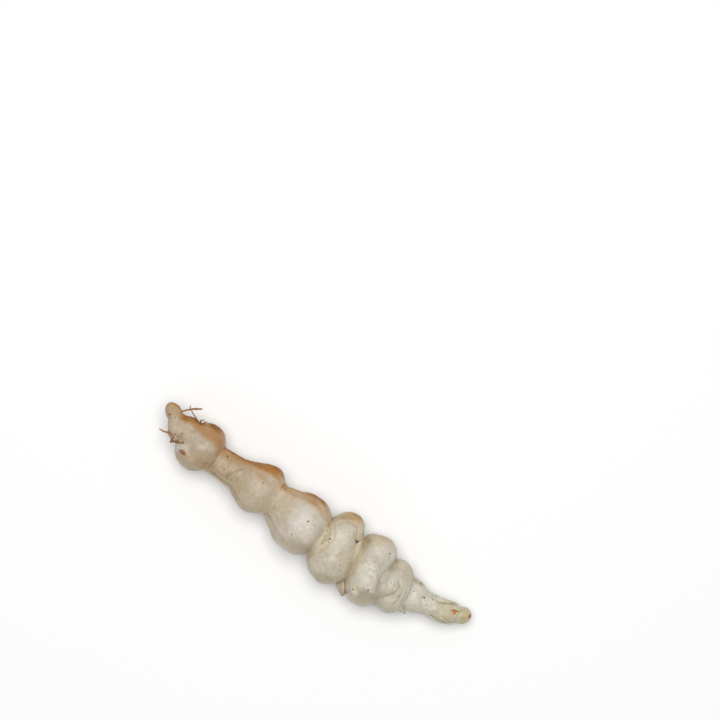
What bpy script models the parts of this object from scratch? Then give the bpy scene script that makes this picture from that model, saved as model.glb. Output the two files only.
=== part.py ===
# A chinese artichoke tuber lying on its side: one knobbly solid tuber with its
# cut stolon stub and bud tip, the rootlets at its first node and the small
# papery scale leaves at its nodes.
#
# Metres, +Z up, long axis along +X (the bud tip points to +X), origin at the
# middle of the bounding box, on the surface that the tuber lies on.
#
# The swellings are set out on a plan seen from above: x runs right, y runs
# down, z is the height over the surface, all in plan units. to_world() turns
# the plan into the object's own frame.

import math

import bmesh
import bpy
import numpy as np
from mathutils import Vector

# ---------------------------------------------------------------- dimensions
PLAN_UNIT = 0.00021            # metres in one plan unit
PLAN_TURN = math.radians(35.86)  # direction of the long axis on the plan
PLAN_CENTRE = (308.18, 527.05)   # plan point above the origin
BODY_ROUND = 32                # columns round the tuber
GAP = 0.0003 / PLAN_UNIT       # clearance of rootlets and leaves to the tuber
LEAF_THICK = 0.00030           # scale leaf thickness
LUMP = 0.55                    # height of the slow unevenness, plan units

COLLECTION = "chinese_artichoke"


def clear_scene():
    for ob in list(bpy.data.objects):
        bpy.data.objects.remove(ob, do_unlink=True)


def to_world(p):
    """Plan points (n, 3) in plan units to metres in the object's frame."""
    p = np.asarray(p, float)
    u = p[..., 0] - PLAN_CENTRE[0]
    v = p[..., 1] - PLAN_CENTRE[1]
    c, s = math.cos(PLAN_TURN), math.sin(PLAN_TURN)
    out = np.empty(p.shape)
    out[..., 0] = (u * c + v * s) * PLAN_UNIT
    out[..., 1] = (u * s - v * c) * PLAN_UNIT
    out[..., 2] = p[..., 2] * PLAN_UNIT
    return out


# ------------------------------------------------------- swellings of the tuber
def egg(centre, radii, turn=32.0):
    """Ellipsoid: radii along its axis, across it and upright; turn on plan."""
    return ("egg", np.array(centre, float), np.array(radii, float), turn)


def taper(a, b, ra, rb):
    """Round tapering length from a to b."""
    return ("taper", np.array(a, float), np.array(b, float), ra, rb)


# name, softness of the crease before it, softness inside, swellings
SEGMENTS = [
    ("stub", 3.0, 1.6, [taper((171.4, 408.1, 36.5), (176.2, 410.6, 36.0), 5.8, 5.4),
                        taper((172.4, 412.4, 36.3), (175.6, 414.6, 35.8), 6.4, 7.0),
                        taper((175.4, 416.0, 35.5), (178.4, 424, 33.5), 7.6, 10.4)]),
    ("shoulder", 4.0, 3.4, [egg((181.5, 428.9, 31), (11.4, 14.8, 17.5), 50),
                            egg((191.8, 425.6, 30.5), (9.0, 9.0, 14.5), 40),
                            egg((187.6, 436.4, 30), (9.5, 11.5, 18.6), 45)]),
    ("bulb_1", 5.0, 6.0, [egg((203.5, 445.6, 25.5), (21.5, 24.3, 27.0), 45),
                          egg((190.8, 453.6, 24.4), (18.4, 15.8, 22.5), 50)]),
    ("node_1", 2.0, 2.0, [egg((214.5, 458.8, 29), (4.5, 15.8, 15.8), 44)]),
    ("neck", 1.8, 3.0, [taper((217, 460.4, 29.5), (243, 477.5, 31), 15.5, 17.6)]),
    ("bulb_2", 9.0, 6.0, [egg((259.5, 487.3, 31.5), (24.5, 24, 26), 35),
                          egg((270.0, 480.7, 30), (15.5, 15.5, 20), 35),
                          egg((252.2, 494.2, 29), (18.3, 18.7, 21), 35)]),
    ("node_2", 3.0, 2.0, [egg((274, 499.2, 32), (6, 19.4, 20), 39)]),
    ("bulb_3", 1.6, 6.0, [egg((302.5, 524, 32.4), (28, 31.8, 32.2), 38),
                          taper((284, 506, 33), (300, 520, 33), 20.0, 27),
                          taper((271.8, 516.6, 28), (283, 533, 29), 7.0, 11.2)]),
    ("node_3", 2.4, 2.0, [egg((321.6, 537.6, 30), (8.5, 22.3, 23.5), 33)]),
    ("bulb_4", 1.4, 5.0, [egg((349.0, 528.4, 24.2), (15.5, 16.5, 25), 24),
                          egg((343.2, 525.2, 24.0), (9.6, 11.2, 20), 0),
                          egg((327.6, 564.6, 23.7), (18.8, 20.0, 24.5), 30),
                          taper((342.2, 536, 33), (331, 559, 32), 18.6, 24.0)]),
    ("rim_4", 5.0, 3.0, [egg((356.4, 551.5, 24.5), (9.2, 16.5, 20.0), 22)]),
    ("bulb_5", 1.4, 5.0, [egg((380.8, 551.8, 24.9), (16.2, 16.4, 25.7), 24),
                          egg((374.6, 548.2, 25.0), (10.2, 12.0, 22.5), 10),
                          egg((370.4, 542.2, 20.0), (6.0, 7.0, 13.0), 0),
                          egg((363.6, 586.6, 24.3), (18.8, 20.2, 25.2), 26),
                          taper((375.0, 558.5, 31), (367.8, 581.5, 30), 18.4, 22.2)]),
    ("rim_5", 2.4, 3.0, [egg((388.2, 562.6, 27), (5.8, 14.5, 19.5), 22)]),
    ("bulb_6", 1.4, 4.5, [egg((399.4, 571.6, 26), (10.8, 12.8, 20), 24),
                          egg((387.8, 600.7, 25), (14.6, 12.6, 20), 24),
                          egg((398.4, 586.0, 26.5), (15.8, 22.6, 22.0), 18)]),
    ("disc_6", 2.0, 3.0, [egg((391.6, 583.4, 32.0), (11.4, 17.4, 17.6), 20)]),
    ("bulb_7", 1.1, 3.0, [taper((411, 594.9, 22.0), (422.6, 602.0, 22.6), 17.0, 12.1)]),
    ("bulb_8", 1.4, 3.0, [taper((423.5, 602.4, 22.8), (439, 609.4, 20.5), 11.7, 12.0)]),
    ("bud", 1.2, 1.0, [taper((440, 610.4, 20.5), (451.4, 613.2, 18.4), 12.5, 11.2),
                       taper((455, 614.6, 18), (463.0, 616.2, 17), 9.2, 8.6)]),
]

# Cross-sections that the tuber's surface is drawn on: the middle of each one on
# the plan, its height, the direction of its plane on the plan in degrees
# (towards the +Y side), and the rows from it to the next.
STATIONS = [
    ((174.0, 410.6, 36.2), -16, 5),
    ((178.5, 420.5, 34.0), -17, 4),
    ((183.4, 427.5, 31.5), -25, 4),
    ((188.6, 433.6, 29.5), -35, 5),
    ((201.0, 447.2, 27.0), -41, 6),
    ((214.3, 458.6, 29.0), -46, 5),
    ((233.0, 470.5, 30.0), -52, 6),
    ((261.0, 488.3, 31.0), -51, 6),
    ((274.0, 499.2, 32.0), -50.7, 7),
    ((302.5, 524.0, 32.0), -52, 7),
    ((320.6, 537.0, 30.0), -57.3, 6),
    ((338.0, 548.5, 29.0), -66, 6),
    ((357.0, 557.2, 28.0), -66.3, 6),
    ((371.5, 569.5, 28.0), -68, 6),
    ((386.0, 580.4, 28.0), -63.5, 5),
    ((397.0, 586.8, 27.5), -65, 4),
    ((408.6, 592.4, 25.2), -73, 4),
    ((423.0, 601.8, 23.5), -67, 4),
    ((439.5, 609.4, 20.5), -71, 4),
    ((454.0, 613.6, 18.3), -77, 3),
    ((463.6, 616.4, 17.2), -76, 0),
]
CAP_ROWS_STUB = 5
CAP_ROWS_TIP = 5


def egg_distance(p, seg):
    _, centre, radii, turn = seg
    a = math.radians(turn)
    d = p - centre
    x = d[:, 0] * math.cos(a) + d[:, 1] * math.sin(a)
    y = -d[:, 0] * math.sin(a) + d[:, 1] * math.cos(a)
    q = np.stack([x, y, d[:, 2]], 1)
    k0 = np.sqrt(((q / radii) ** 2).sum(1))
    k1 = np.sqrt(((q / (radii * radii)) ** 2).sum(1))
    return k0 * (k0 - 1.0) / np.maximum(k1, 1e-9)


def taper_distance(p, seg):
    _, a, b, ra, rb = seg
    pa, ba = p - a, b - a
    length2 = ba @ ba
    slope = ra - rb
    cone2 = length2 - slope * slope
    y = pa @ ba
    z = y - length2
    x2 = ((pa * length2 - np.outer(y, ba)) ** 2).sum(1)
    y2, z2 = y * y * length2, z * z * length2
    k = math.copysign(1.0, slope) * slope * slope * x2
    dist = (np.sqrt(x2 * cone2 / length2) + y * slope) / length2 - ra
    past_b = np.sign(z) * cone2 * z2 > k
    past_a = ~past_b & (np.sign(y) * cone2 * y2 < k)
    dist[past_b] = np.sqrt(x2[past_b] + z2[past_b]) / length2 - rb
    dist[past_a] = np.sqrt(x2[past_a] + y2[past_a]) / length2 - ra
    return dist


def soft_join(a, b, k):
    h = np.maximum(k - np.abs(a - b), 0.0) / k
    return np.minimum(a, b) - h * h * k * 0.25


def tuber_distance(p):
    """Distance from plan points to the tuber's skin, negative inside it."""
    total = None
    for _, before, inside, shapes in SEGMENTS:
        group = None
        for seg in shapes:
            d = egg_distance(p, seg) if seg[0] == "egg" else taper_distance(p, seg)
            group = d if group is None else soft_join(group, d, inside)
        total = group if total is None else soft_join(total, group, before)
    slow = (np.sin(0.151 * p[:, 0] + 0.083 * p[:, 2] + 0.4)
            * np.sin(0.173 * p[:, 1] - 0.061 * p[:, 0] + 1.9)
            + 0.6 * np.sin(0.262 * p[:, 1] + 0.231 * p[:, 2] + 0.9)
            * np.sin(0.247 * p[:, 0] - 0.118 * p[:, 2]))
    return total - LUMP * slow


def tuber_normal(p):
    step = 0.25
    axes = np.eye(3) * step
    grad = np.stack([tuber_distance(p + axes[i]) - tuber_distance(p - axes[i])
                     for i in range(3)], 1)
    return grad / np.maximum(np.linalg.norm(grad, axis=1, keepdims=True), 1e-9)


def section_rows():
    """Middle point, sideways direction and end direction of each row."""
    middles = np.array([s[0] for s in STATIONS], float)
    turns = np.radians([s[1] for s in STATIONS])
    n = len(STATIONS)
    rows = []
    for i in range(n - 1):
        count = STATIONS[i][2]
        for j in range(count):
            t = j / count
            p0, p1 = middles[max(i - 1, 0)], middles[i]
            p2, p3 = middles[i + 1], middles[min(i + 2, n - 1)]
            mid = 0.5 * (2 * p1 + (p2 - p0) * t
                         + (2 * p0 - 5 * p1 + 4 * p2 - p3) * t * t
                         + (3 * p1 - p0 - 3 * p2 + p3) * t ** 3)
            rows.append((mid, turns[i] * (1 - t) + turns[i + 1] * t, 0.0))
    rows.append((middles[-1], turns[-1], 0.0))
    stub = [(middles[0], turns[0], -math.pi / 2 * (1 - j / CAP_ROWS_STUB))
            for j in range(CAP_ROWS_STUB)]
    tip = [(middles[-1], turns[-1], math.pi / 2 * (j + 1) / CAP_ROWS_TIP)
           for j in range(CAP_ROWS_TIP)]
    return stub + rows + tip


def skin_point(middle, ray):
    """Outermost skin points along rays from their middles, flat on z = 0."""
    reach = np.full(len(ray), 46.0)
    for _ in range(70):
        d = tuber_distance(middle + ray * reach[:, None])
        reach -= np.clip(d * 0.85, -1.0, 6.0)
    low = (middle[:, 2] + ray[:, 2] * reach) < 0.0
    reach[low] = -middle[low, 2] / ray[low, 2]
    return middle + ray * reach[:, None]


# ------------------------------------------------------------------- materials
def principled(name, colour, roughness):
    mat = bpy.data.materials.new(name)
    mat.use_nodes = True
    bsdf = mat.node_tree.nodes["Principled BSDF"]
    bsdf.inputs["Base Color"].default_value = (*colour, 1.0)
    bsdf.inputs["Roughness"].default_value = roughness
    bsdf.inputs["Metallic"].default_value = 0.0
    return mat


def add_object(name, data, collection, mat):
    ob = bpy.data.objects.new(name, data)
    collection.objects.link(ob)
    data.materials.append(mat)
    return ob


# ------------------------------------------------------------------ the tuber
def make_tuber(collection, mat):
    rows = section_rows()
    bm = bmesh.new()
    bmesh.ops.create_uvsphere(bm, u_segments=BODY_ROUND, v_segments=len(rows) - 1,
                              radius=1.0)
    verts = list(bm.verts)
    start = np.array([v.co[:] for v in verts])
    polar = np.arccos(np.clip(start[:, 2], -1, 1))
    row = np.rint(polar / math.pi * (len(rows) - 1)).astype(int)
    around = np.arctan2(start[:, 1], start[:, 0])
    middle = np.array([rows[i][0] for i in row])
    turn = np.array([rows[i][1] for i in row])
    lean = np.array([rows[i][2] for i in row])
    side = np.stack([np.cos(turn), np.sin(turn), np.zeros(len(turn))], 1)
    ahead = np.stack([-np.sin(turn), np.cos(turn), np.zeros(len(turn))], 1)
    up = np.array([0.0, 0.0, 1.0])
    ray = side * np.cos(around)[:, None] + up * -np.sin(around)[:, None]
    ray = ray * np.cos(lean)[:, None] + ahead * np.sin(lean)[:, None]
    skin = to_world(skin_point(middle, ray))
    for v, co in zip(verts, skin):
        v.co = Vector(co)
    bmesh.ops.triangulate(bm, faces=bm.faces[:])
    bmesh.ops.recalc_face_normals(bm, faces=bm.faces[:])
    mesh = bpy.data.meshes.new("tuber_body")
    bm.to_mesh(mesh)
    bm.free()
    mesh.shade_smooth()
    return add_object("tuber_body", mesh, collection, mat)


# ------------------------------------------------------ rootlets, scale leaves
def clear_of_tuber(p, clearance):
    """Move plan points out along the skin's normal until they clear it."""
    p = np.array(p, float)
    for _ in range(12):
        short = np.maximum(clearance - tuber_distance(p), 0.0)
        p += tuber_normal(p) * short[:, None]
    return p


def smooth_route(points, count):
    """Points on a smooth curve through the given ones."""
    pts = np.array(points, float)
    n = len(pts)
    out = []
    for k in range(count):
        t = k / (count - 1) * (n - 1)
        i = min(int(t), n - 2)
        t -= i
        p0, p1 = pts[max(i - 1, 0)], pts[i]
        p2, p3 = pts[i + 1], pts[min(i + 2, n - 1)]
        out.append(0.5 * (2 * p1 + (p2 - p0) * t
                          + (2 * p0 - 5 * p1 + 4 * p2 - p3) * t * t
                          + (3 * p1 - p0 - 3 * p2 + p3) * t ** 3))
    return np.array(out)


def make_rootlet(name, points, radius, end_radius, count, collection, mat):
    """A tapering rootlet along plan points; radii in metres."""
    route = smooth_route(points, count)
    route = clear_of_tuber(route, GAP + radius / PLAN_UNIT)
    route = to_world(route)
    curve = bpy.data.curves.new(name, "CURVE")
    curve.dimensions = "3D"
    curve.bevel_depth = radius
    curve.bevel_resolution = 1
    curve.use_fill_caps = True
    spline = curve.splines.new("POLY")
    spline.points.add(count - 1)
    for k, co in enumerate(route):
        spline.points[k].co = (*co, 1.0)
        spline.points[k].radius = 1 + (end_radius / radius - 1) * k / (count - 1)
    return add_object(name, curve, collection, mat)


def make_leaf(name, base, tip, side, half_width, arch, collection, mat,
              steps=8, across=4):
    """A thin pointed scale leaf from base to tip, arched over side to side."""
    bm = bmesh.new()
    bmesh.ops.create_grid(bm, x_segments=steps, y_segments=across, size=1.0)
    base, tip, side = (np.array(v, float) for v in (base, tip, side))
    side = side / np.linalg.norm(side)
    start = np.array([v.co[:] for v in bm.verts])
    along = (start[:, 0] + 1) / 2
    across_at = start[:, 1]
    width = half_width * (np.sqrt(np.maximum(1 - along ** 2, 0)) * 0.86 + 0.14)
    p = base + np.outer(along, tip - base) + np.outer(across_at * width, side)
    face = np.cross(tip - base, side)
    face = face / np.linalg.norm(face)
    if face[2] < 0:
        face = -face
    p = p - np.outer(arch * across_at ** 2, face)
    p = to_world(clear_of_tuber(p, GAP + 0.3))
    for v, co in zip(bm.verts, p):
        v.co = Vector(co)
    bmesh.ops.recalc_face_normals(bm, faces=bm.faces[:])
    out = to_world(base + face) - to_world(base)
    if sum(f.normal.dot(Vector(out)) for f in bm.faces) < 0:
        bmesh.ops.reverse_faces(bm, faces=bm.faces[:])
    mesh = bpy.data.meshes.new(name)
    bm.to_mesh(mesh)
    bm.free()
    ob = add_object(name, mesh, collection, mat)
    shell = ob.modifiers.new("thickness", "SOLIDIFY")
    shell.thickness = LEAF_THICK
    shell.offset = 1.0
    return ob


def main():
    clear_scene()
    collection = bpy.data.collections.new(COLLECTION)
    bpy.context.scene.collection.children.link(collection)

    skin = principled("tuber_skin", (0.62, 0.56, 0.45), 0.45)
    root = principled("rootlet_bark", (0.30, 0.16, 0.08), 0.70)
    leaf = principled("scale_leaf", (0.72, 0.66, 0.50), 0.55)

    make_tuber(collection, skin)

    make_rootlet("rootlet_long",
                 [(182.6, 412.2, 35), (187.0, 410.8, 35.6), (192, 409.4, 35.8),
                  (201.5, 408.6, 35)], 0.00021, 0.00015, 9, collection, root)
    make_rootlet("rootlet_thin",
                 [(199.6, 421.4, 37), (196.6, 417.6, 39), (193.4, 412.6, 40.5),
                  (191.2, 408.2, 41), (191.4, 404.6, 41.5)],
                 0.00012, 0.00008, 11, collection, root)
    make_rootlet("rootlet_stub_a",
                 [(201.4, 420.2, 34), (203.2, 417.6, 35.6), (205.2, 416.0, 36.4)],
                 0.00018, 0.00012, 5, collection, root)
    make_rootlet("rootlet_stub_b",
                 [(204.6, 420.6, 31), (207.8, 418.6, 31.6), (210.4, 418.4, 31)],
                 0.00018, 0.00011, 5, collection, root)
    make_rootlet("rootlet_left",
                 [(175.6, 438.6, 47), (173.8, 434.6, 46), (170.6, 431.8, 43.5),
                  (165.2, 430.6, 40), (160.4, 427.8, 37.5)],
                 0.00024, 0.00018, 11, collection, root)
    make_rootlet("rootlet_creeping",
                 [(171.0, 441.8, 43), (176.0, 442.2, 47), (180.8, 441.6, 50),
                  (185.2, 442.4, 52)], 0.00020, 0.00014, 9, collection, root)

    make_leaf("scale_leaf_lower", (341.8, 581.5, 25), (341.8, 594.5, 23),
              (0.95, -0.30, 0.1), 5.6, 1.0, collection, leaf, 6, 4)
    make_leaf("scale_leaf_small", (399.5, 608.6, 33), (407.6, 614.0, 29),
              (-0.5, 0.62, -0.6), 3.6, 0.8, collection, leaf, 6, 4)
    make_leaf("scale_leaf_upper", (411.5, 574.5, 34), (423.0, 582.8, 30),
              (0.35, -0.5, -0.79), 4.0, 1.0, collection, leaf, 6, 4)
    make_leaf("scale_leaf_tip", (421.0, 602.0, 37), (440.0, 606.6, 33.5),
              (-0.33, 0.94, 0), 7.0, 2.4, collection, leaf)
    make_leaf("bud_scale_upper", (438.5, 600.2, 26), (459.0, 603.4, 23.5),
              (0.1, -0.55, -0.83), 4.2, 1.2, collection, leaf)
    make_leaf("bud_scale_lower", (431.5, 617.4, 24), (451.2, 625.6, 20),
              (-0.2, 0.55, -0.81), 4.6, 1.2, collection, leaf)


main()
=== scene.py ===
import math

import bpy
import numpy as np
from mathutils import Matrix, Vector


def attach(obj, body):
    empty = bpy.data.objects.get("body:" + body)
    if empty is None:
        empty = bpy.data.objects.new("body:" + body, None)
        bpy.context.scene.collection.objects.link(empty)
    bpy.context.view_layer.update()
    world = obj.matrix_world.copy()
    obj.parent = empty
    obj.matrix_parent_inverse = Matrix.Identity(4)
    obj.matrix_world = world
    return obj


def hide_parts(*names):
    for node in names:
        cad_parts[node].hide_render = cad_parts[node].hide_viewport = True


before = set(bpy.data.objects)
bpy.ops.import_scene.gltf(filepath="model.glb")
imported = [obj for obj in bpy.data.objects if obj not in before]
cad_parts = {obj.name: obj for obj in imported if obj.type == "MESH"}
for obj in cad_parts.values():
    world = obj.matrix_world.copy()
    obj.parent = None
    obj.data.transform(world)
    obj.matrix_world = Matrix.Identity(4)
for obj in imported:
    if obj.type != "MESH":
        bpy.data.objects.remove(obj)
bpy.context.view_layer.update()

# A chinese artichoke tuber on a pale table, seen from straight above.
#
# Metres, +Z up. The tuber's swellings, folds and marks are set out on a plan
# seen from above: x runs right, y runs down, z is the height over the table,
# in plan units of 0.21 mm. to_world() turns the plan into the object's frame.

PLAN_UNIT = 0.00021
PLAN_TURN = math.radians(35.86)
PLAN_CENTRE = (308.18, 527.05)
LUMP = 0.55
ROUND = 168                 # columns round the tuber
ROW_STEP = 0.84             # plan units between rows, on average


def to_world(p):
    p = np.asarray(p, float)
    u = p[..., 0] - PLAN_CENTRE[0]
    v = p[..., 1] - PLAN_CENTRE[1]
    c, s = math.cos(PLAN_TURN), math.sin(PLAN_TURN)
    out = np.empty(p.shape)
    out[..., 0] = (u * c + v * s) * PLAN_UNIT
    out[..., 1] = (u * s - v * c) * PLAN_UNIT
    out[..., 2] = p[..., 2] * PLAN_UNIT
    return out


# ------------------------------------------------------------------ small maths
def smooth(lo, hi, x):
    t = np.clip((x - lo) / (hi - lo), 0.0, 1.0)
    return t * t * (3 - 2 * t)


def mix(a, b, t):
    return a * (1 - t) + b * t


_rng = np.random.default_rng(41)
_perm = np.concatenate([_rng.permutation(256)] * 3)
_grads = _rng.normal(size=(256, 3))
_grads /= np.linalg.norm(_grads, axis=1, keepdims=True)


def noise(p, scale=1.0, seed=0.0):
    """Smooth gradient noise, about -1 to 1, for points (n, 3)."""
    q = np.asarray(p, float) / scale + seed * 17.31
    i = np.floor(q).astype(int)
    f = q - i
    w = f * f * f * (f * (f * 6 - 15) + 10)
    i &= 255
    total = np.zeros(len(q))
    for dx in (0, 1):
        for dy in (0, 1):
            for dz in (0, 1):
                h = _perm[_perm[_perm[i[:, 0] + dx] + i[:, 1] + dy] + i[:, 2] + dz]
                g = _grads[h]
                d = (g[:, 0] * (f[:, 0] - dx) + g[:, 1] * (f[:, 1] - dy)
                     + g[:, 2] * (f[:, 2] - dz))
                total += d * ((w[:, 0] if dx else 1 - w[:, 0])
                              * (w[:, 1] if dy else 1 - w[:, 1])
                              * (w[:, 2] if dz else 1 - w[:, 2]))
    return total * 1.6


def layered(p, scale, seed, octaves=3, gain=0.5):
    out, amp = 0.0, 1.0
    for k in range(octaves):
        out = out + noise(p, scale / 2 ** k, seed + k * 3.7) * amp
        amp *= gain
    return out


def route(points, step):
    """Evenly spaced points on a smooth curve through the given ones."""
    pts = np.array(points, float)
    n = len(pts)
    fine = []
    for i in range(n - 1):
        p0, p1 = pts[max(i - 1, 0)], pts[i]
        p2, p3 = pts[i + 1], pts[min(i + 2, n - 1)]
        for t in np.linspace(0, 1, 24, endpoint=False):
            fine.append(0.5 * (2 * p1 + (p2 - p0) * t
                               + (2 * p0 - 5 * p1 + 4 * p2 - p3) * t * t
                               + (3 * p1 - p0 - 3 * p2 + p3) * t ** 3))
    fine.append(pts[-1])
    fine = np.array(fine)
    length = np.concatenate([[0], np.cumsum(np.linalg.norm(np.diff(fine, axis=0), axis=1))])
    count = max(2, int(round(length[-1] / step)) + 1)
    at = np.linspace(0, length[-1], count)
    return np.stack([np.interp(at, length, fine[:, k]) for k in range(pts.shape[1])], 1)


# -------------------------------------------------------- swellings of the tuber
def egg(centre, radii, turn=32.0):
    return ("egg", np.array(centre, float), np.array(radii, float), turn)


def taper(a, b, ra, rb):
    return ("taper", np.array(a, float), np.array(b, float), ra, rb)


SEGMENTS = [
    ("stub", 3.0, 1.6, [taper((171.4, 408.1, 36.5), (176.2, 410.6, 36.0), 5.8, 5.4),
                        taper((172.4, 412.4, 36.3), (175.6, 414.6, 35.8), 6.4, 7.0),
                        taper((175.4, 416.0, 35.5), (178.4, 424, 33.5), 7.6, 10.4)]),
    ("shoulder", 4.0, 3.4, [egg((181.5, 428.9, 31), (11.4, 14.8, 17.5), 50),
                            egg((191.8, 425.6, 30.5), (9.0, 9.0, 14.5), 40),
                            egg((187.6, 436.4, 30), (9.5, 11.5, 18.6), 45)]),
    ("bulb_1", 5.0, 6.0, [egg((203.5, 445.6, 25.5), (21.5, 24.3, 27.0), 45),
                          egg((190.8, 453.6, 24.4), (18.4, 15.8, 22.5), 50)]),
    ("node_1", 2.0, 2.0, [egg((214.5, 458.8, 29), (4.5, 15.8, 15.8), 44)]),
    ("neck", 1.8, 3.0, [taper((217, 460.4, 29.5), (243, 477.5, 31), 15.5, 17.6)]),
    ("bulb_2", 9.0, 6.0, [egg((259.5, 487.3, 31.5), (24.5, 24, 26), 35),
                          egg((270.0, 480.7, 30), (15.5, 15.5, 20), 35),
                          egg((252.2, 494.2, 29), (18.3, 18.7, 21), 35)]),
    ("node_2", 3.0, 2.0, [egg((274, 499.2, 32), (6, 19.4, 20), 39)]),
    ("bulb_3", 1.6, 6.0, [egg((302.5, 524, 32.4), (28, 31.8, 32.2), 38),
                          taper((284, 506, 33), (300, 520, 33), 20.0, 27),
                          taper((271.8, 516.6, 28), (283, 533, 29), 7.0, 11.2)]),
    ("node_3", 2.4, 2.0, [egg((321.6, 537.6, 30), (8.5, 22.3, 23.5), 33)]),
    ("bulb_4", 1.4, 5.0, [egg((349.0, 528.4, 24.2), (15.5, 16.5, 25), 24),
                          egg((343.2, 525.2, 24.0), (9.6, 11.2, 20), 0),
                          egg((327.6, 564.6, 23.7), (18.8, 20.0, 24.5), 30),
                          taper((342.2, 536, 33), (331, 559, 32), 18.6, 24.0)]),
    ("rim_4", 5.0, 3.0, [egg((356.4, 551.5, 24.5), (9.2, 16.5, 20.0), 22)]),
    ("bulb_5", 1.4, 5.0, [egg((380.8, 551.8, 24.9), (16.2, 16.4, 25.7), 24),
                          egg((374.6, 548.2, 25.0), (10.2, 12.0, 22.5), 10),
                          egg((370.4, 542.2, 20.0), (6.0, 7.0, 13.0), 0),
                          egg((363.6, 586.6, 24.3), (18.8, 20.2, 25.2), 26),
                          taper((375.0, 558.5, 31), (367.8, 581.5, 30), 18.4, 22.2)]),
    ("rim_5", 2.4, 3.0, [egg((388.2, 562.6, 27), (5.8, 14.5, 19.5), 22)]),
    ("bulb_6", 1.4, 4.5, [egg((399.4, 571.6, 26), (10.8, 12.8, 20), 24),
                          egg((387.8, 600.7, 25), (14.6, 12.6, 20), 24),
                          egg((398.4, 586.0, 26.5), (15.8, 22.6, 22.0), 18)]),
    ("disc_6", 2.0, 3.0, [egg((391.6, 583.4, 32.0), (11.4, 17.4, 17.6), 20)]),
    ("bulb_7", 1.1, 3.0, [taper((411, 594.9, 22.0), (422.6, 602.0, 22.6), 17.0, 12.1)]),
    ("bulb_8", 1.4, 3.0, [taper((423.5, 602.4, 22.8), (439, 609.4, 20.5), 11.7, 12.0)]),
    ("bud", 1.2, 1.0, [taper((440, 610.4, 20.5), (451.4, 613.2, 18.4), 12.5, 11.2),
                       taper((455, 614.6, 18), (463.0, 616.2, 17), 9.2, 8.6)]),
]

# middle of each cross-section on the plan, its height, and its direction
STATIONS = [
    ((174.0, 410.6, 36.2), -16), ((178.5, 420.5, 34.0), -17),
    ((183.4, 427.5, 31.5), -25), ((188.6, 433.6, 29.5), -35),
    ((201.0, 447.2, 27.0), -41), ((214.3, 458.6, 29.0), -46),
    ((233.0, 470.5, 30.0), -52), ((261.0, 488.3, 31.0), -51),
    ((274.0, 499.2, 32.0), -50.7), ((302.5, 524.0, 32.0), -52),
    ((320.6, 537.0, 30.0), -57.3), ((338.0, 548.5, 29.0), -66),
    ((357.0, 557.2, 28.0), -66.3), ((371.5, 569.5, 28.0), -68),
    ((386.0, 580.4, 28.0), -63.5), ((397.0, 586.8, 27.5), -65),
    ((408.6, 592.4, 25.2), -73), ((423.0, 601.8, 23.5), -67),
    ((439.5, 609.4, 20.5), -71), ((454.0, 613.6, 18.3), -77),
    ((463.6, 616.4, 17.2), -76),
]


def egg_distance(p, seg):
    _, centre, radii, turn = seg
    a = math.radians(turn)
    d = p - centre
    x = d[:, 0] * math.cos(a) + d[:, 1] * math.sin(a)
    y = -d[:, 0] * math.sin(a) + d[:, 1] * math.cos(a)
    q = np.stack([x, y, d[:, 2]], 1)
    k0 = np.sqrt(((q / radii) ** 2).sum(1))
    k1 = np.sqrt(((q / (radii * radii)) ** 2).sum(1))
    return k0 * (k0 - 1.0) / np.maximum(k1, 1e-9)


def taper_distance(p, seg):
    _, a, b, ra, rb = seg
    pa, ba = p - a, b - a
    length2 = ba @ ba
    slope = ra - rb
    cone2 = length2 - slope * slope
    y = pa @ ba
    z = y - length2
    x2 = ((pa * length2 - np.outer(y, ba)) ** 2).sum(1)
    y2, z2 = y * y * length2, z * z * length2
    k = math.copysign(1.0, slope) * slope * slope * x2
    dist = (np.sqrt(x2 * cone2 / length2) + y * slope) / length2 - ra
    past_b = np.sign(z) * cone2 * z2 > k
    past_a = ~past_b & (np.sign(y) * cone2 * y2 < k)
    dist[past_b] = np.sqrt(x2[past_b] + z2[past_b]) / length2 - rb
    dist[past_a] = np.sqrt(x2[past_a] + y2[past_a]) / length2 - ra
    return dist


def soft_join(a, b, k):
    h = np.maximum(k - np.abs(a - b), 0.0) / k
    return np.minimum(a, b) - h * h * k * 0.25


def tuber_distance(p):
    total = None
    for _, before, inside, shapes in SEGMENTS:
        group = None
        for seg in shapes:
            d = egg_distance(p, seg) if seg[0] == "egg" else taper_distance(p, seg)
            group = d if group is None else soft_join(group, d, inside)
        total = group if total is None else soft_join(total, group, before)
    slow = (np.sin(0.151 * p[:, 0] + 0.083 * p[:, 2] + 0.4)
            * np.sin(0.173 * p[:, 1] - 0.061 * p[:, 0] + 1.9)
            + 0.6 * np.sin(0.262 * p[:, 1] + 0.231 * p[:, 2] + 0.9)
            * np.sin(0.247 * p[:, 0] - 0.118 * p[:, 2]))
    return total - LUMP * slow


def tuber_normal(p, step=0.25):
    axes = np.eye(3) * step
    grad = np.stack([tuber_distance(p + axes[i]) - tuber_distance(p - axes[i])
                     for i in range(3)], 1)
    return grad / np.maximum(np.linalg.norm(grad, axis=1, keepdims=True), 1e-9)


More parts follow.
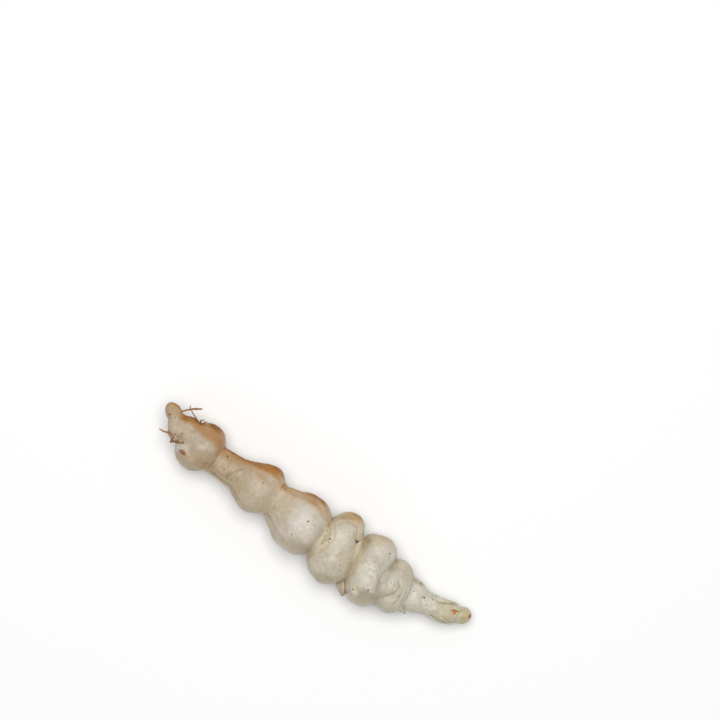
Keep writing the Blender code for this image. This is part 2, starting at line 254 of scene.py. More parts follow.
# ---------------------------------------------------------------- fold lines
# Lines on the upper side: plan points, half width, height (a groove is below
# zero), and how bright the line is painted: papery edges and painted highlights
# on some ridges above zero, dark lines and painted shade in some grooves below zero.
FOLDS = [
    # stub: edge of the collar
    ([(168.2, 413.6), (172.6, 414.4), (177.6, 413.2), (181.4, 411.2)], 0.9, -0.35, -0.25),
    # first swelling: the fold that sets off its side lobe, with a painted highlight along it
    ([(184.2, 443.6), (185.4, 446.4), (187.2, 449.8), (189.6, 453.4), (192.2, 456.6)], 0.60, 0.40, 1.00),
    ([(188.6, 455.6), (190.4, 458.4), (192.6, 460.8), (195.2, 462.4)], 0.9, 0.15, 0.40),
    ([(188.6, 447.2), (190.8, 451.6), (193.4, 455.8), (196.6, 459.4)], 0.8, 0.12, 0.15),
    ([(182.6, 445.6), (185.8, 451.0), (189.2, 456.6), (192.8, 461.4), (197.0, 465.4)], 1.5, -0.45, -0.12),
    # the node beside the neck, with painted shade along its crease
    ([(224.8, 447.3), (221.3, 451.1), (218.3, 455), (215.6, 459.4), (211.8, 464.5),
      (207.5, 468.0)], 1.1, -0.55, -1.15),
    ([(225.0, 445.8), (220.4, 450.2), (216.8, 454.4), (213.2, 459.4), (208.4, 464.4),
      (203.6, 468.2)], 2.4, -0.15, -0.50),
    ([(213.4, 463.6), (209.2, 463.9), (205.4, 463.2), (202.2, 464.4)], 0.7, -0.25, -0.65),
    ([(212.6, 465.4), (208.6, 467.2), (204.6, 466.6)], 0.7, -0.25, -0.55),
    # corners of the square neck
    ([(225.2, 450.4), (230.3, 452.9), (237.2, 456.6), (244.6, 460.6), (253, 464)], 1.1, 0.50, 0.20),
    ([(211.1, 466.8), (218.8, 473.9), (225, 478.6), (231.5, 483.0), (236.4, 488.4),
      (239.6, 494), (242.0, 500)], 0.9, 0.60, 0.50),
    ([(211.0, 469.6), (217.6, 475.6), (223.6, 480.4), (229.8, 484.8), (234.6, 490.4),
      (237.6, 496)], 1.8, -0.45, -0.15),
    ([(225.2, 474.1), (228.8, 473.9), (232.5, 472.4), (236.6, 470.3), (241.1, 468.7)], 0.8, -0.45, -1.15),
    ([(226.0, 477.2), (229.4, 475.0), (231.8, 473.2)], 0.7, -0.30, -0.80),
    ([(217.8, 464.0), (221.6, 466.6), (224.2, 470.0)], 0.6, -0.20, -0.35),
    # second to third swelling
    ([(285.4, 485.4), (281.9, 492.8), (277.2, 498.3), (272.6, 504.5), (268.8, 510.4),
      (265, 513.5)], 0.7, 0.30, 0.42),
    ([(283.4, 484.6), (279.6, 491.6), (274.8, 496.8), (270.2, 503), (266.2, 508.6),
      (262.4, 512.5)], 1.2, -0.40, -0.20),
    # facet on the flank of the third swelling
    ([(267.4, 511.0), (271.2, 513.6), (275.5, 519.6), (279.3, 525.7), (284.7, 534.9),
      (288.6, 540.2)], 0.9, 0.55, 0.42),
    ([(265.2, 513.6), (268.6, 515.6), (272.4, 522), (276.2, 528.6), (281.2, 537), (286, 544)],
     2.2, -0.75, -0.30),
    ([(264.3, 514.5), (265.8, 520.9), (269.4, 528)], 0.8, 0.30, 0.20),
    # papery band between the third and fourth swellings
    ([(327.6, 529.6), (323.6, 535), (320.2, 539.5), (317.2, 544.2), (314.9, 548.9)], 0.7, 0.40, 0.85),
    ([(331.8, 538.0), (327.4, 540.8), (323.7, 543.3), (320, 546), (316.2, 549.0)], 0.7, 0.35, 0.85),
    ([(332.9, 521), (332.7, 528), (332.2, 534), (331.0, 538.7)], 0.75, 0.30, 0.70),
    ([(334.4, 521), (334.8, 529), (333.8, 537), (327, 545), (319, 551), (311.5, 556)], 0.9, -0.45, -0.35),
    ([(329.6, 524.0), (327.0, 531.0), (321.0, 539.6), (314.8, 547.0)], 0.7, -0.30, -0.30),
    # fourth swelling: cap line, side groove, papery edge at its foot
    ([(335.1, 523.0), (338.4, 520.9), (342.3, 519.9), (347, 519.5), (351, 519.9),
      (355.6, 521.6), (358.8, 526.6), (359.8, 533)], 0.9, 0.40, 0.26),
    ([(336.4, 519.4), (341.6, 517.4), (347.6, 517.0), (353.2, 517.8), (357.6, 520.2)], 1.3, -0.15, -0.30),
    ([(354.6, 522.7), (357.0, 527.3), (357.6, 534), (357.2, 541), (356.6, 545)], 1.2, -0.60, -0.40),
    ([(357.0, 540), (355.8, 548), (353.6, 555), (351.6, 561.4), (348.8, 568)], 1.3, -0.45, -0.18),
    ([(336.0, 524.6), (341.0, 521.8), (347.0, 521.2), (352.4, 523.0), (355.4, 528.0)],
     1.3, -0.50, -0.30),
    ([(353.8, 529.4), (354.6, 533.6), (355.4, 538.8)], 1.3, -0.45, -0.50),
    ([(358.6, 541.9), (359.8, 542.3), (360.8, 543.2)], 0.55, 0.20, 1.7),
    ([(356.6, 538.0), (357.8, 538.6), (358.6, 538.2)], 0.50, 0.15, 1.0),
    ([(362.6, 549.6), (360.4, 555.0), (357.2, 560.6), (354.2, 566.0), (351.0, 572)], 0.7, 0.22, 0.15),
    ([(363.0, 553.0), (360.6, 558.6), (358.0, 563.0)], 0.6, 0.12, 0.15),
    # fifth swelling: soft fold before the sixth, its shade painted as a dark band, with a pale band beyond it
    ([(387.6, 550.5), (389.4, 556), (389.0, 561.4), (386.7, 568.2), (383.4, 572.0), (380.2, 577.0),
      (379.0, 582.0), (377.4, 588.2), (375.2, 593.6)], 2.0, -0.55, -0.42),
    ([(393.6, 549.0), (394.0, 555.0), (393.6, 561.0), (392.0, 566.6), (387.6, 572.6),
      (384.0, 578.4), (382.4, 584.6), (381.6, 590.6)], 1.6, 0.20, 0.12),
    ([(396.2, 560.0), (396.4, 564.4), (397.6, 568.4), (399.2, 573.0)], 0.9, -0.45, -0.45),
    # wrinkled face of the sixth swelling
    ([(389.5, 580.2), (391.7, 582.5), (394.5, 584.3), (397.0, 584.9)], 0.65, -0.55, -1.0),
    ([(398.6, 577.0), (398.1, 581.1), (398.8, 584.7), (397.2, 587.9), (394.0, 591.5), (390.8, 593.8),
      (387.2, 594.7), (383.5, 595.4), (380.4, 597.2), (378.5, 599.7)], 0.7, -0.70, -1.0),
    ([(400.6, 592.8), (399.7, 594.7), (398.1, 597.9), (395.8, 600.6), (393.5, 602.0),
      (390.6, 602.8)], 0.75, -0.80, -1.0),
    ([(405.6, 583.6), (404.9, 586.8), (403.1, 591.4), (401.3, 596.0), (398.5, 600.5),
      (394.8, 603.6)], 0.65, 0.35, 0.75),
    ([(396.2, 571.5), (400.6, 576.4), (402.8, 582.2), (401.6, 588.6), (398.2, 594.4)], 0.9, 0.30, 0.22),
    ([(386.2, 586.2), (388.4, 588.4), (390.8, 588.2)], 0.6, -0.20, -0.35),
    ([(384.8, 583.0), (387.2, 583.6), (389.0, 585.2)], 0.6, -0.20, -0.30),
    ([(389.4, 574.6), (390.0, 577.0), (392.0, 578.4)], 0.6, -0.20, -0.35),
    ([(386.0, 598.6), (390.2, 597.8), (394.4, 595.8), (396.6, 593.4)], 0.6, -0.20, -0.30),
    ([(404.6, 574.0), (406.8, 579.4), (407.2, 585.4)], 1.1, -0.15, -0.25),
    # crinkles on the fifth swelling
    ([(366.0, 575.4), (369.4, 574.2), (372.8, 575.8), (374.4, 579.2)], 0.6, -0.25, -0.45),
    ([(369.6, 579.8), (372.8, 581.4), (374.2, 584.8), (372.6, 588.0)], 0.6, -0.25, -0.45),
    ([(362.6, 562.6), (365.2, 560.6), (368.4, 560.8)], 0.6, -0.20, -0.40),
    ([(357.2, 582.0), (360.4, 580.8), (363.6, 582.4)], 0.6, -0.20, -0.35),
    ([(350.0, 587.0), (351.8, 589.4), (354.2, 590.8), (356.4, 591.0)], 0.6, 0.15, 0.75),
    ([(349.4, 589.4), (351.2, 591.6)], 0.5, 0.10, 0.70),
    ([(378.4, 551.6), (380.6, 554.2), (380.8, 558.4)], 0.6, -0.20, -0.35),
    ([(370.2, 556.4), (373.6, 555.2), (376.4, 556.6), (377.6, 559.8)], 0.6, -0.28, -0.50),
    ([(371.2, 562.4), (374.6, 561.0), (378.6, 562.2), (380.4, 565.6), (379.6, 569.4)], 0.6, -0.30, -0.55),
    ([(367.4, 568.2), (370.6, 567.0), (373.4, 569.0), (373.2, 572.6)], 0.6, -0.28, -0.45),
    ([(376.4, 570.6), (378.2, 574.0), (377.6, 578.2), (375.0, 581.6)], 0.6, -0.28, -0.50),
    ([(380.8, 548.6), (383.6, 551.6), (384.8, 556.0)], 0.6, -0.22, -0.35),
    # seventh and eighth
    ([(426.4, 594.6), (422.8, 600.2), (419.2, 608.6)], 1.2, -0.25, -0.38),
    ([(415.6, 590.0), (414.4, 596.0), (410.6, 602.4)], 2.6, 0.10, 0.30),
    ([(437.4, 598.8), (438.6, 604.4), (438.4, 609.4)], 1.2, 0.20, 0.30),
    ([(421.6, 611.4), (427.4, 613.2), (434.0, 614.4), (438.4, 615.4)], 0.9, 0.25, 0.45),
    # bud: overlapping scale edges
    ([(438.6, 602.2), (442.6, 602.9), (447, 603.5), (452.4, 603.9), (456.4, 605.0)], 0.6, -0.40, -0.80),
    ([(432.6, 613.0), (437.2, 616.6), (441.4, 620.4), (446.0, 624.4)], 0.7, -0.25, -0.30),
    ([(439.2, 616.4), (442.4, 619.2), (445.8, 623.4)], 0.8, 0.45, 1.6),
    ([(452.5, 605.8), (457.6, 606.6), (461.6, 608.2)], 0.9, 0.30, 0.30),
    ([(455.2, 623.6), (455.8, 620.4), (457.4, 616.6), (459.6, 613.0), (461.2, 610.4),
      (461.8, 608.2)], 0.9, -0.60, -0.55),
    ([(453.6, 621.6), (454.8, 617.4), (457.0, 613.6), (459.4, 610.6)], 1.5, 0.30, 0.30),
    ([(446.0, 606.4), (449.6, 610.6), (451.6, 615.2), (452.0, 621.0)], 0.9, -0.25, -0.20),
    ([(441.0, 606.0), (447.0, 608.0), (452.0, 609.0)], 0.7, 0.12, 0.22),
    ([(440.0, 612.0), (446.0, 614.6), (450.6, 618.4)], 0.7, 0.12, 0.22),
]


def line_field(p, points, half, slant=None):
    """Closeness (1 on the line) and share along it for plan points."""
    line = route(points, 0.8)
    best = np.full(len(p), 99.0)
    share = np.zeros(len(p))
    for k in range(len(line) - 1):
        a, b = line[k], line[k + 1]
        ab = b - a
        t = np.clip(((p[:, :2] - a) @ ab) / (ab @ ab), 0, 1)
        d = np.linalg.norm(p[:, :2] - a - t[:, None] * ab, axis=1)
        closer = d < best
        best[closer] = d[closer]
        share[closer] = (k + t[closer]) / (len(line) - 1)
    return best, share


def fold_field(p, facing):
    """Height and painted brightness of the fold lines at plan points: papery edges and painted highlights above zero,
    dark lines and painted shade below zero.
    """
    height = np.zeros(len(p))
    edge = np.zeros(len(p))
    for points, half, high, bright in FOLDS:
        pts = np.array(points)
        lo, hi = pts.min(0) - 9, pts.max(0) + 9
        near = np.where((p[:, 0] > lo[0]) & (p[:, 0] < hi[0]) & (p[:, 1] > lo[1])
                        & (p[:, 1] < hi[1]) & (facing > 0.05))[0]
        if not len(near):
            continue
        best, share = line_field(p[near], points, half)
        slant = np.clip(facing[near], 0.25, 1.0)
        d = best / (0.35 + 0.65 * slant)
        ends = smooth(0, 0.16, share) * smooth(0, 0.16, 1 - share)
        wander = 0.85 + 0.40 * noise(p[near], 4.2, 2.0 + half)
        wander = np.clip(wander, 0.25, 1.3)
        fade = smooth(0.05, 0.3, facing[near])
        height[near] += high * np.exp(-(d / half) ** 2) * ends * wander * fade
        edge[near] += bright * np.exp(-(d / (half * 0.85)) ** 2) * ends * fade * wander
    return height, np.clip(edge, -1, 2)


# --------------------------------------------------------------- tuber surface
def row_list():
    middles = np.array([s[0] for s in STATIONS], float)
    turns = np.radians([s[1] for s in STATIONS])
    n = len(STATIONS)
    fine, fturn = [], []
    for i in range(n - 1):
        p0, p1 = middles[max(i - 1, 0)], middles[i]
        p2, p3 = middles[i + 1], middles[min(i + 2, n - 1)]
        for t in np.linspace(0, 1, 30, endpoint=False):
            fine.append(0.5 * (2 * p1 + (p2 - p0) * t
                               + (2 * p0 - 5 * p1 + 4 * p2 - p3) * t * t
                               + (3 * p1 - p0 - 3 * p2 + p3) * t ** 3))
            fturn.append(turns[i] * (1 - t) + turns[i + 1] * t)
    fine.append(middles[-1])
    fturn.append(turns[-1])
    fine, fturn = np.array(fine), np.array(fturn)
    # caps: the rays lean outwards over the two round ends
    cap = 16
    lean = np.concatenate([np.linspace(-math.pi / 2, 0, cap, endpoint=False),
                           np.zeros(len(fine)),
                           np.linspace(math.pi / 2, 0, cap, endpoint=False)[::-1]])
    mid = np.concatenate([np.repeat(fine[:1], cap, 0), fine, np.repeat(fine[-1:], cap, 0)])
    turn = np.concatenate([np.repeat(fturn[:1], cap), fturn, np.repeat(fturn[-1:], cap)])
    return mid, turn, lean


def ray_of(turn, lean, around):
    side = np.stack([np.cos(turn), np.sin(turn), np.zeros_like(turn)], -1)
    ahead = np.stack([-np.sin(turn), np.cos(turn), np.zeros_like(turn)], -1)
    up = np.array([0.0, 0.0, 1.0])
    ray = side * np.cos(around)[..., None] + up * np.sin(around)[..., None]
    return ray * np.cos(lean)[..., None] + ahead * np.sin(lean)[..., None]


def reach_skin(middle, ray, steps=60):
    reach = np.full(len(ray), 46.0)
    for _ in range(steps):
        d = tuber_distance(middle + ray * reach[:, None])
        reach = reach - np.clip(d * 0.85, -1.0, 6.0)
    return reach


# places along the tuber that need more rows: middle, width, how many more
WRINKLED = [(-112, 9, 0.35), (-36, 7, 0.35), (18, 9, 0.45), (53, 8, 0.40), (98, 15, 0.75),
            (165, 14, 0.35)]


def even_rows():
    """Rows spread evenly over the skin's length along the top and the sides."""
    mid, turn, lean = row_list()
    length = np.zeros(len(mid) - 1)
    for a in (math.pi / 2, 0.0, math.pi):
        around = np.full(len(mid), a)
        ray = ray_of(turn, lean, around)
        skin = mid + ray * reach_skin(mid, ray)[:, None]
        length = np.maximum(length, np.linalg.norm(np.diff(skin, axis=0), axis=1))
    # closer together where the skin is wrinkled
    x = axis_place(0.5 * (mid[1:] + mid[:-1]))
    need = np.full(len(x), 0.80)
    for centre, width, extra in WRINKLED:
        need += extra * np.exp(-((x - centre) / width) ** 2)
    along = np.concatenate([[0], np.cumsum(length)])
    spaced = np.concatenate([[0], np.cumsum(length * need)])
    count = int(spaced[-1] / ROW_STEP) + 1
    at = np.interp(np.linspace(0, spaced[-1], count), spaced, along)
    out_mid = np.stack([np.interp(at, along, mid[:, k]) for k in range(3)], 1)
    return out_mid, np.interp(at, along, turn), np.interp(at, along, lean), at


def make_mesh(name, verts, faces):
    mesh = bpy.data.meshes.new(name)
    mesh.from_pydata(np.asarray(verts, float).tolist(), [], faces)
    mesh.validate()
    mesh.update()
    mesh.shade_smooth()
    return mesh


def add_object(name, mesh, mat, replaced=()):
    ob = bpy.data.objects.new(name, mesh)
    bpy.context.scene.collection.objects.link(ob)
    mesh.materials.append(mat)
    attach(ob, "root")
    if replaced:
        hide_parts(*replaced)
    return ob


def colour_attribute(mesh, name, rgb):
    att = mesh.color_attributes.new(name, "FLOAT_COLOR", "POINT")
    data = np.ones((len(rgb), 4), np.float32)
    data[:, :3] = rgb
    att.data.foreach_set("color", data.ravel())


def value_attribute(mesh, name, values):
    att = mesh.attributes.new(name, "FLOAT", "POINT")
    att.data.foreach_set("value", np.asarray(values, np.float32))


def srgb(r, g, b):
    c = np.array([r, g, b], float) / 255.0
    return np.where(c <= 0.04045, c / 12.92, ((c + 0.055) / 1.055) ** 2.4)


def openness(p, n, reach):
    """How open the skin is at a point: 1 on a swelling, towards 0 in a crease."""
    total, weight = 0.0, 0.0
    for k in (0.35, 0.7, 1.0):
        h = reach * k
        total = total + np.clip(tuber_distance(p + n * h) / h, 0, 1)
        weight += 1.0
    return total / weight


def axis_place(p):
    """Place along the long axis, in plan units from the middle."""
    return ((p[:, 0] - PLAN_CENTRE[0]) * math.cos(PLAN_TURN)
            + (p[:, 1] - PLAN_CENTRE[1]) * math.sin(PLAN_TURN))


def across_place(n):
    """How far a direction points to the object's +Y side."""
    return n[:, 0] * math.sin(PLAN_TURN) - n[:, 1] * math.cos(PLAN_TURN)


# ---------------------------------------------------------------- skin colours
SKIN_STOPS = [
    (-192, srgb(164, 132, 98)), (-180, srgb(176, 152, 122)), (-160, srgb(183, 166, 143)),
    (-134, srgb(184, 170, 149)), (-104, srgb(169, 147, 117)), (-66, srgb(188, 174, 152)),
    (-36, srgb(190, 174, 150)), (-6, srgb(205, 198, 186)), (16, srgb(192, 182, 160)),
    (34, srgb(202, 196, 180)), (58, srgb(195, 186, 166)), (74, srgb(203, 198, 184)),
    (98, srgb(195, 190, 175)), (112, srgb(192, 186, 167)), (125, srgb(202, 199, 186)),
    (146, srgb(203, 200, 184)), (160, srgb(199, 194, 171)), (180, srgb(188, 177, 143)),
]

# soft patches on the upper side: tone blotches, painted highlights on the tops of the swellings, and painted shade on
# the lower flanks, in notches and along the +Y edge: centre, radii, turn, colour, amount
TONE_AND_LIGHT_PATCHES = [
    ((201, 463), (14, 5), 35, (180, 151, 111), 0.44),
    ((202, 441), (9, 7), 30, (194, 183, 168), 0.44),
    ((212.0, 434.5), (14, 5.4), 36, (158, 94, 26), 0.68),
    ((221.5, 443.5), (4.2, 6.5), 30, (156, 96, 30), 0.60),
    ((199.6, 424.6), (4.4, 2.6), 35, (172, 100, 36), 0.72),
    ((213.0, 448.5), (5.0, 4.0), 35, (202, 186, 162), 0.40),
    ((181, 429.4), (4.2, 2.6), 20, (208, 200, 190), 0.45),
    ((186, 426), (8, 6), 50, (202, 188, 168), 0.35),
    ((182, 436.6), (6.5, 4), 10, (176, 150, 120), 0.50),
    ((197, 424), (8, 3.6), 30, (170, 112, 54), 0.60),
    ((187, 446), (3.4, 4.6), 0, (214, 206, 194), 0.40),
    ((175, 423), (4.5, 8), 10, (210, 196, 180), 0.55),
    ((179.4, 446.5), (4.5, 5.5), 60, (206, 204, 202), 0.70),
    ((180, 459), (5, 8), -30, (172, 154, 132), 0.40),
    ((233, 465.5), (10, 5.6), 38, (178, 156, 126), 0.55),
    ((226, 481), (17, 3.2), 40, (164, 141, 112), 0.55),
    ((262, 500), (10, 6.5), 20, (190, 173, 146), 0.50),
    ((258, 485), (11, 7), 20, (202, 190, 171), 0.50),
    ((245, 497), (4, 8), -30, (202, 190, 172), 0.40),
    ((289, 496), (8, 4), 35, (206, 184, 156), 0.40),
    ((303, 519), (16, 12), 40, (213, 208, 199), 0.60),
    ((300, 545), (15, 6), 20, (168, 154, 128), 0.52),
    ((275, 528), (3.6, 13), -30, (196, 185, 172), 0.50),
    ((337, 541), (8, 12), 20, (216, 210, 194), 0.50),
    ((332, 565), (9, 7), 10, (176, 167, 149), 0.50),
    ((312, 566), (3.6, 8), 0, (208, 201, 191), 0.50),
    ((324, 577), (13, 5), 15, (163, 145, 114), 0.54),
    ((346, 515.0), (12, 4.0), 4, (178, 145, 97), 0.72),
    ((360.4, 533), (3.2, 12), 6, (224, 209, 182), 0.75),
    ((379, 551), (8, 9), 20, (212, 206, 192), 0.35),
    ((366, 570), (9, 11), 20, (216, 212, 199), 0.50),
    ((363, 594), (15, 7), 15, (156, 145, 120), 0.68),
    ((393.6, 553), (2.4, 9), 5, (210, 208, 198), 0.40),
    ((354, 590), (3.4, 6), -25, (222, 213, 194), 0.74),
    ((377.4, 586), (3.0, 13), 16, (160, 151, 126), 0.50),
    ((387.4, 578), (7, 11), 22, (208, 205, 192), 0.50),
    ((403.0, 565.0), (7, 5), 32, (197, 187, 166), 0.55),
    ((407.4, 583), (4.4, 16), 12, (200, 194, 178), 0.60),
    ((367.8, 539.2), (4.0, 4.6), 20, (170, 126, 74), 0.60),
    ((357.4, 552.0), (5.0, 11), 24, (196, 180, 148), 0.45),
    ((390, 606), (9, 4), 10, (184, 178, 160), 0.35),
    ((412.6, 594.4), (5.2, 10.5), 18, (212, 212, 203), 0.64),
    ((421.5, 598.6), (2.0, 8), 26, (190, 184, 164), 0.40),
    ((443, 611), (5, 7), 20, (206, 198, 168), 0.35),
    ((464.5, 616), (5, 6), 10, (194, 180, 130), 0.45),
    ((458.4, 617.0), (2.2, 4.0), 30, (208, 206, 196), 0.55),
    ((454, 621), (8, 3), 5, (192, 185, 166), 0.45),
]

# scars of buds and roots: place, radii, direction, strength, kind
SCAR_TONES = {"brown": ((152, 96, 48), (106, 62, 28)),
              "rust": ((198, 122, 46), (132, 74, 24)),
              "black": ((72, 52, 36), (34, 25, 18))}
SCARS = [((182.8, 452.0), (4.0, 2.3), 41, 0.92, "brown"),
         ((454.4, 610.8), (4.6, 1.4), 12, 0.95, "rust"),
         ((454.9, 613.2), (1.9, 1.8), 50, 0.95, "rust"),
         ((470.4, 616.8), (1.9, 2.7), 20, 0.95, "rust"),
         ((470.9, 617.4), (0.9, 1.5), 30, 0.9, "brown"),
         ((214.6, 474.0), (2.2, 1.0), 35, 0.5, "brown"),
         ((227.6, 476.2), (1.5, 0.9), 20, 0.5, "brown"),
         ((357.5, 540.9), (1.7, 1.1), 14, 1.1, "black"),
         ((355.8, 539.6), (1.1, 0.6), 48, 1.0, "black"),
         ((359.3, 540.2), (0.8, 0.55), -35, 0.9, "black"),
         ((356.6, 542.6), (0.6, 0.5), 60, 0.8, "black")]

# small dark dots on the upper side: place, radius, strength
DOTS = [
    (170.4, 414.3, 1.05, 0.9), (176.3, 417.2, 0.8, 0.8), (176.4, 434.1, 0.9, 0.9),
    (183.4, 432.9, 0.85, 0.75), (173.0, 409.2, 0.6, 0.35), (179.0, 427.0, 0.5, 0.3),
    (205.0, 461.6, 0.6, 0.4), (211.4, 447.8, 0.5, 0.3), (196.0, 433.6, 0.5, 0.3),
    (228.2, 456.1, 1.1, 1.0), (228.4, 459.0, 0.7, 0.5), (224.8, 468.3, 0.95, 0.85),
    (241.5, 468.9, 0.85, 0.7), (219.6, 477.2, 0.6, 0.35), (233.6, 465.4, 0.5, 0.3),
    (264.3, 482.0, 0.95, 0.9), (274.8, 479.5, 0.55, 0.35), (272.0, 494.0, 0.5, 0.3),
    (255.5, 462.5, 0.5, 0.3), (248.6, 488.4, 0.5, 0.3), (243.5, 504.0, 0.6, 0.4),
    (252.6, 473.0, 0.5, 0.3), (283.0, 475.6, 0.5, 0.3),
    (291.3, 491.2, 0.95, 0.7), (291.9, 493.4, 0.75, 0.6), (308.7, 519.2, 1.1, 1.0),
    (314.4, 523.1, 0.75, 0.65), (292.4, 532.5, 0.85, 0.75), (303.0, 530.3, 0.55, 0.4),
    (300.5, 508.0, 0.55, 0.35), (281.8, 501.0, 0.5, 0.3), (328.4, 524.8, 0.95, 0.8),
    (327.6, 529.8, 0.75, 0.6), (310.5, 538.0, 0.45, 0.3), (288.0, 514.6, 0.45, 0.3),
    (330.4, 537.6, 0.95, 0.95), (328.9, 540.8, 0.8, 0.8), (322.5, 542.1, 0.75, 0.6),
    (325.0, 534.4, 0.8, 0.6), (332.3, 534.2, 0.6, 0.5),
    (349.3, 516.2, 1.05, 0.6), (339.5, 558.5, 0.75, 0.5), (325.9, 569.8, 0.75, 0.45),
    (331.2, 573.3, 0.65, 0.4), (340.3, 546.5, 0.45, 0.3), (319.0, 562.0, 0.45, 0.3),
    (389.5, 552.5, 0.95, 0.8), (352.6, 587.6, 1.15, 0.9), (350.7, 588.8, 0.75, 0.6),
    (368.2, 589.0, 1.15, 0.75), (358.6, 579.6, 0.65, 0.5), (363.4, 546.4, 0.65, 0.4),
    (362.8, 550.6, 0.55, 0.35), (358.4, 573.0, 0.55, 0.4), (376.2, 562.2, 0.45, 0.3),
    (398.0, 584.8, 0.55, 0.4), (383.6, 596.8, 0.55, 0.4), (395.0, 603.4, 0.5, 0.35),
    (413.2, 590.4, 0.85, 0.7), (405.3, 605.5, 0.85, 0.8), (412.3, 609.6, 0.95, 0.8),
    (417.0, 578.3, 0.85, 0.7), (420.8, 583.2, 0.95, 0.8), (415.8, 576.2, 0.65, 0.6),
    (424.0, 597.2, 1.05, 0.8), (432.6, 599.2, 0.85, 0.6), (426.2, 604.5, 0.75, 0.5),
    (437.0, 606.0, 0.55, 0.4), (431.0, 614.5, 0.6, 0.35),
]


def blend_stops(x, stops):
    at = np.array([s[0] for s in stops], float)
    cols = np.array([s[1] for s in stops])
    return np.stack([np.interp(x, at, cols[:, k]) for k in range(3)], 1)


def spot(p, centre, radii, turn_deg, wobble=0.25, seed=1.0, soft=0.4):
    """Patch on the upper side, 1 inside and 0 outside, with an uneven edge."""
    a = math.radians(turn_deg)
    dx, dy = p[:, 0] - centre[0], p[:, 1] - centre[1]
    x = (dx * math.cos(a) + dy * math.sin(a)) / radii[0]
    y = (-dx * math.sin(a) + dy * math.cos(a)) / radii[1]
    r = np.sqrt(x * x + y * y)
    near = r < 2.0
    out = np.zeros(len(p))
    if near.any():
        rn = r[near] * (1 + wobble * noise(p[near], max(2.6, min(radii) * 0.7), seed))
        out[near] = 1 - smooth(1.0 - soft * 0.7, 1.0 + soft * 0.5, rn)
    return out


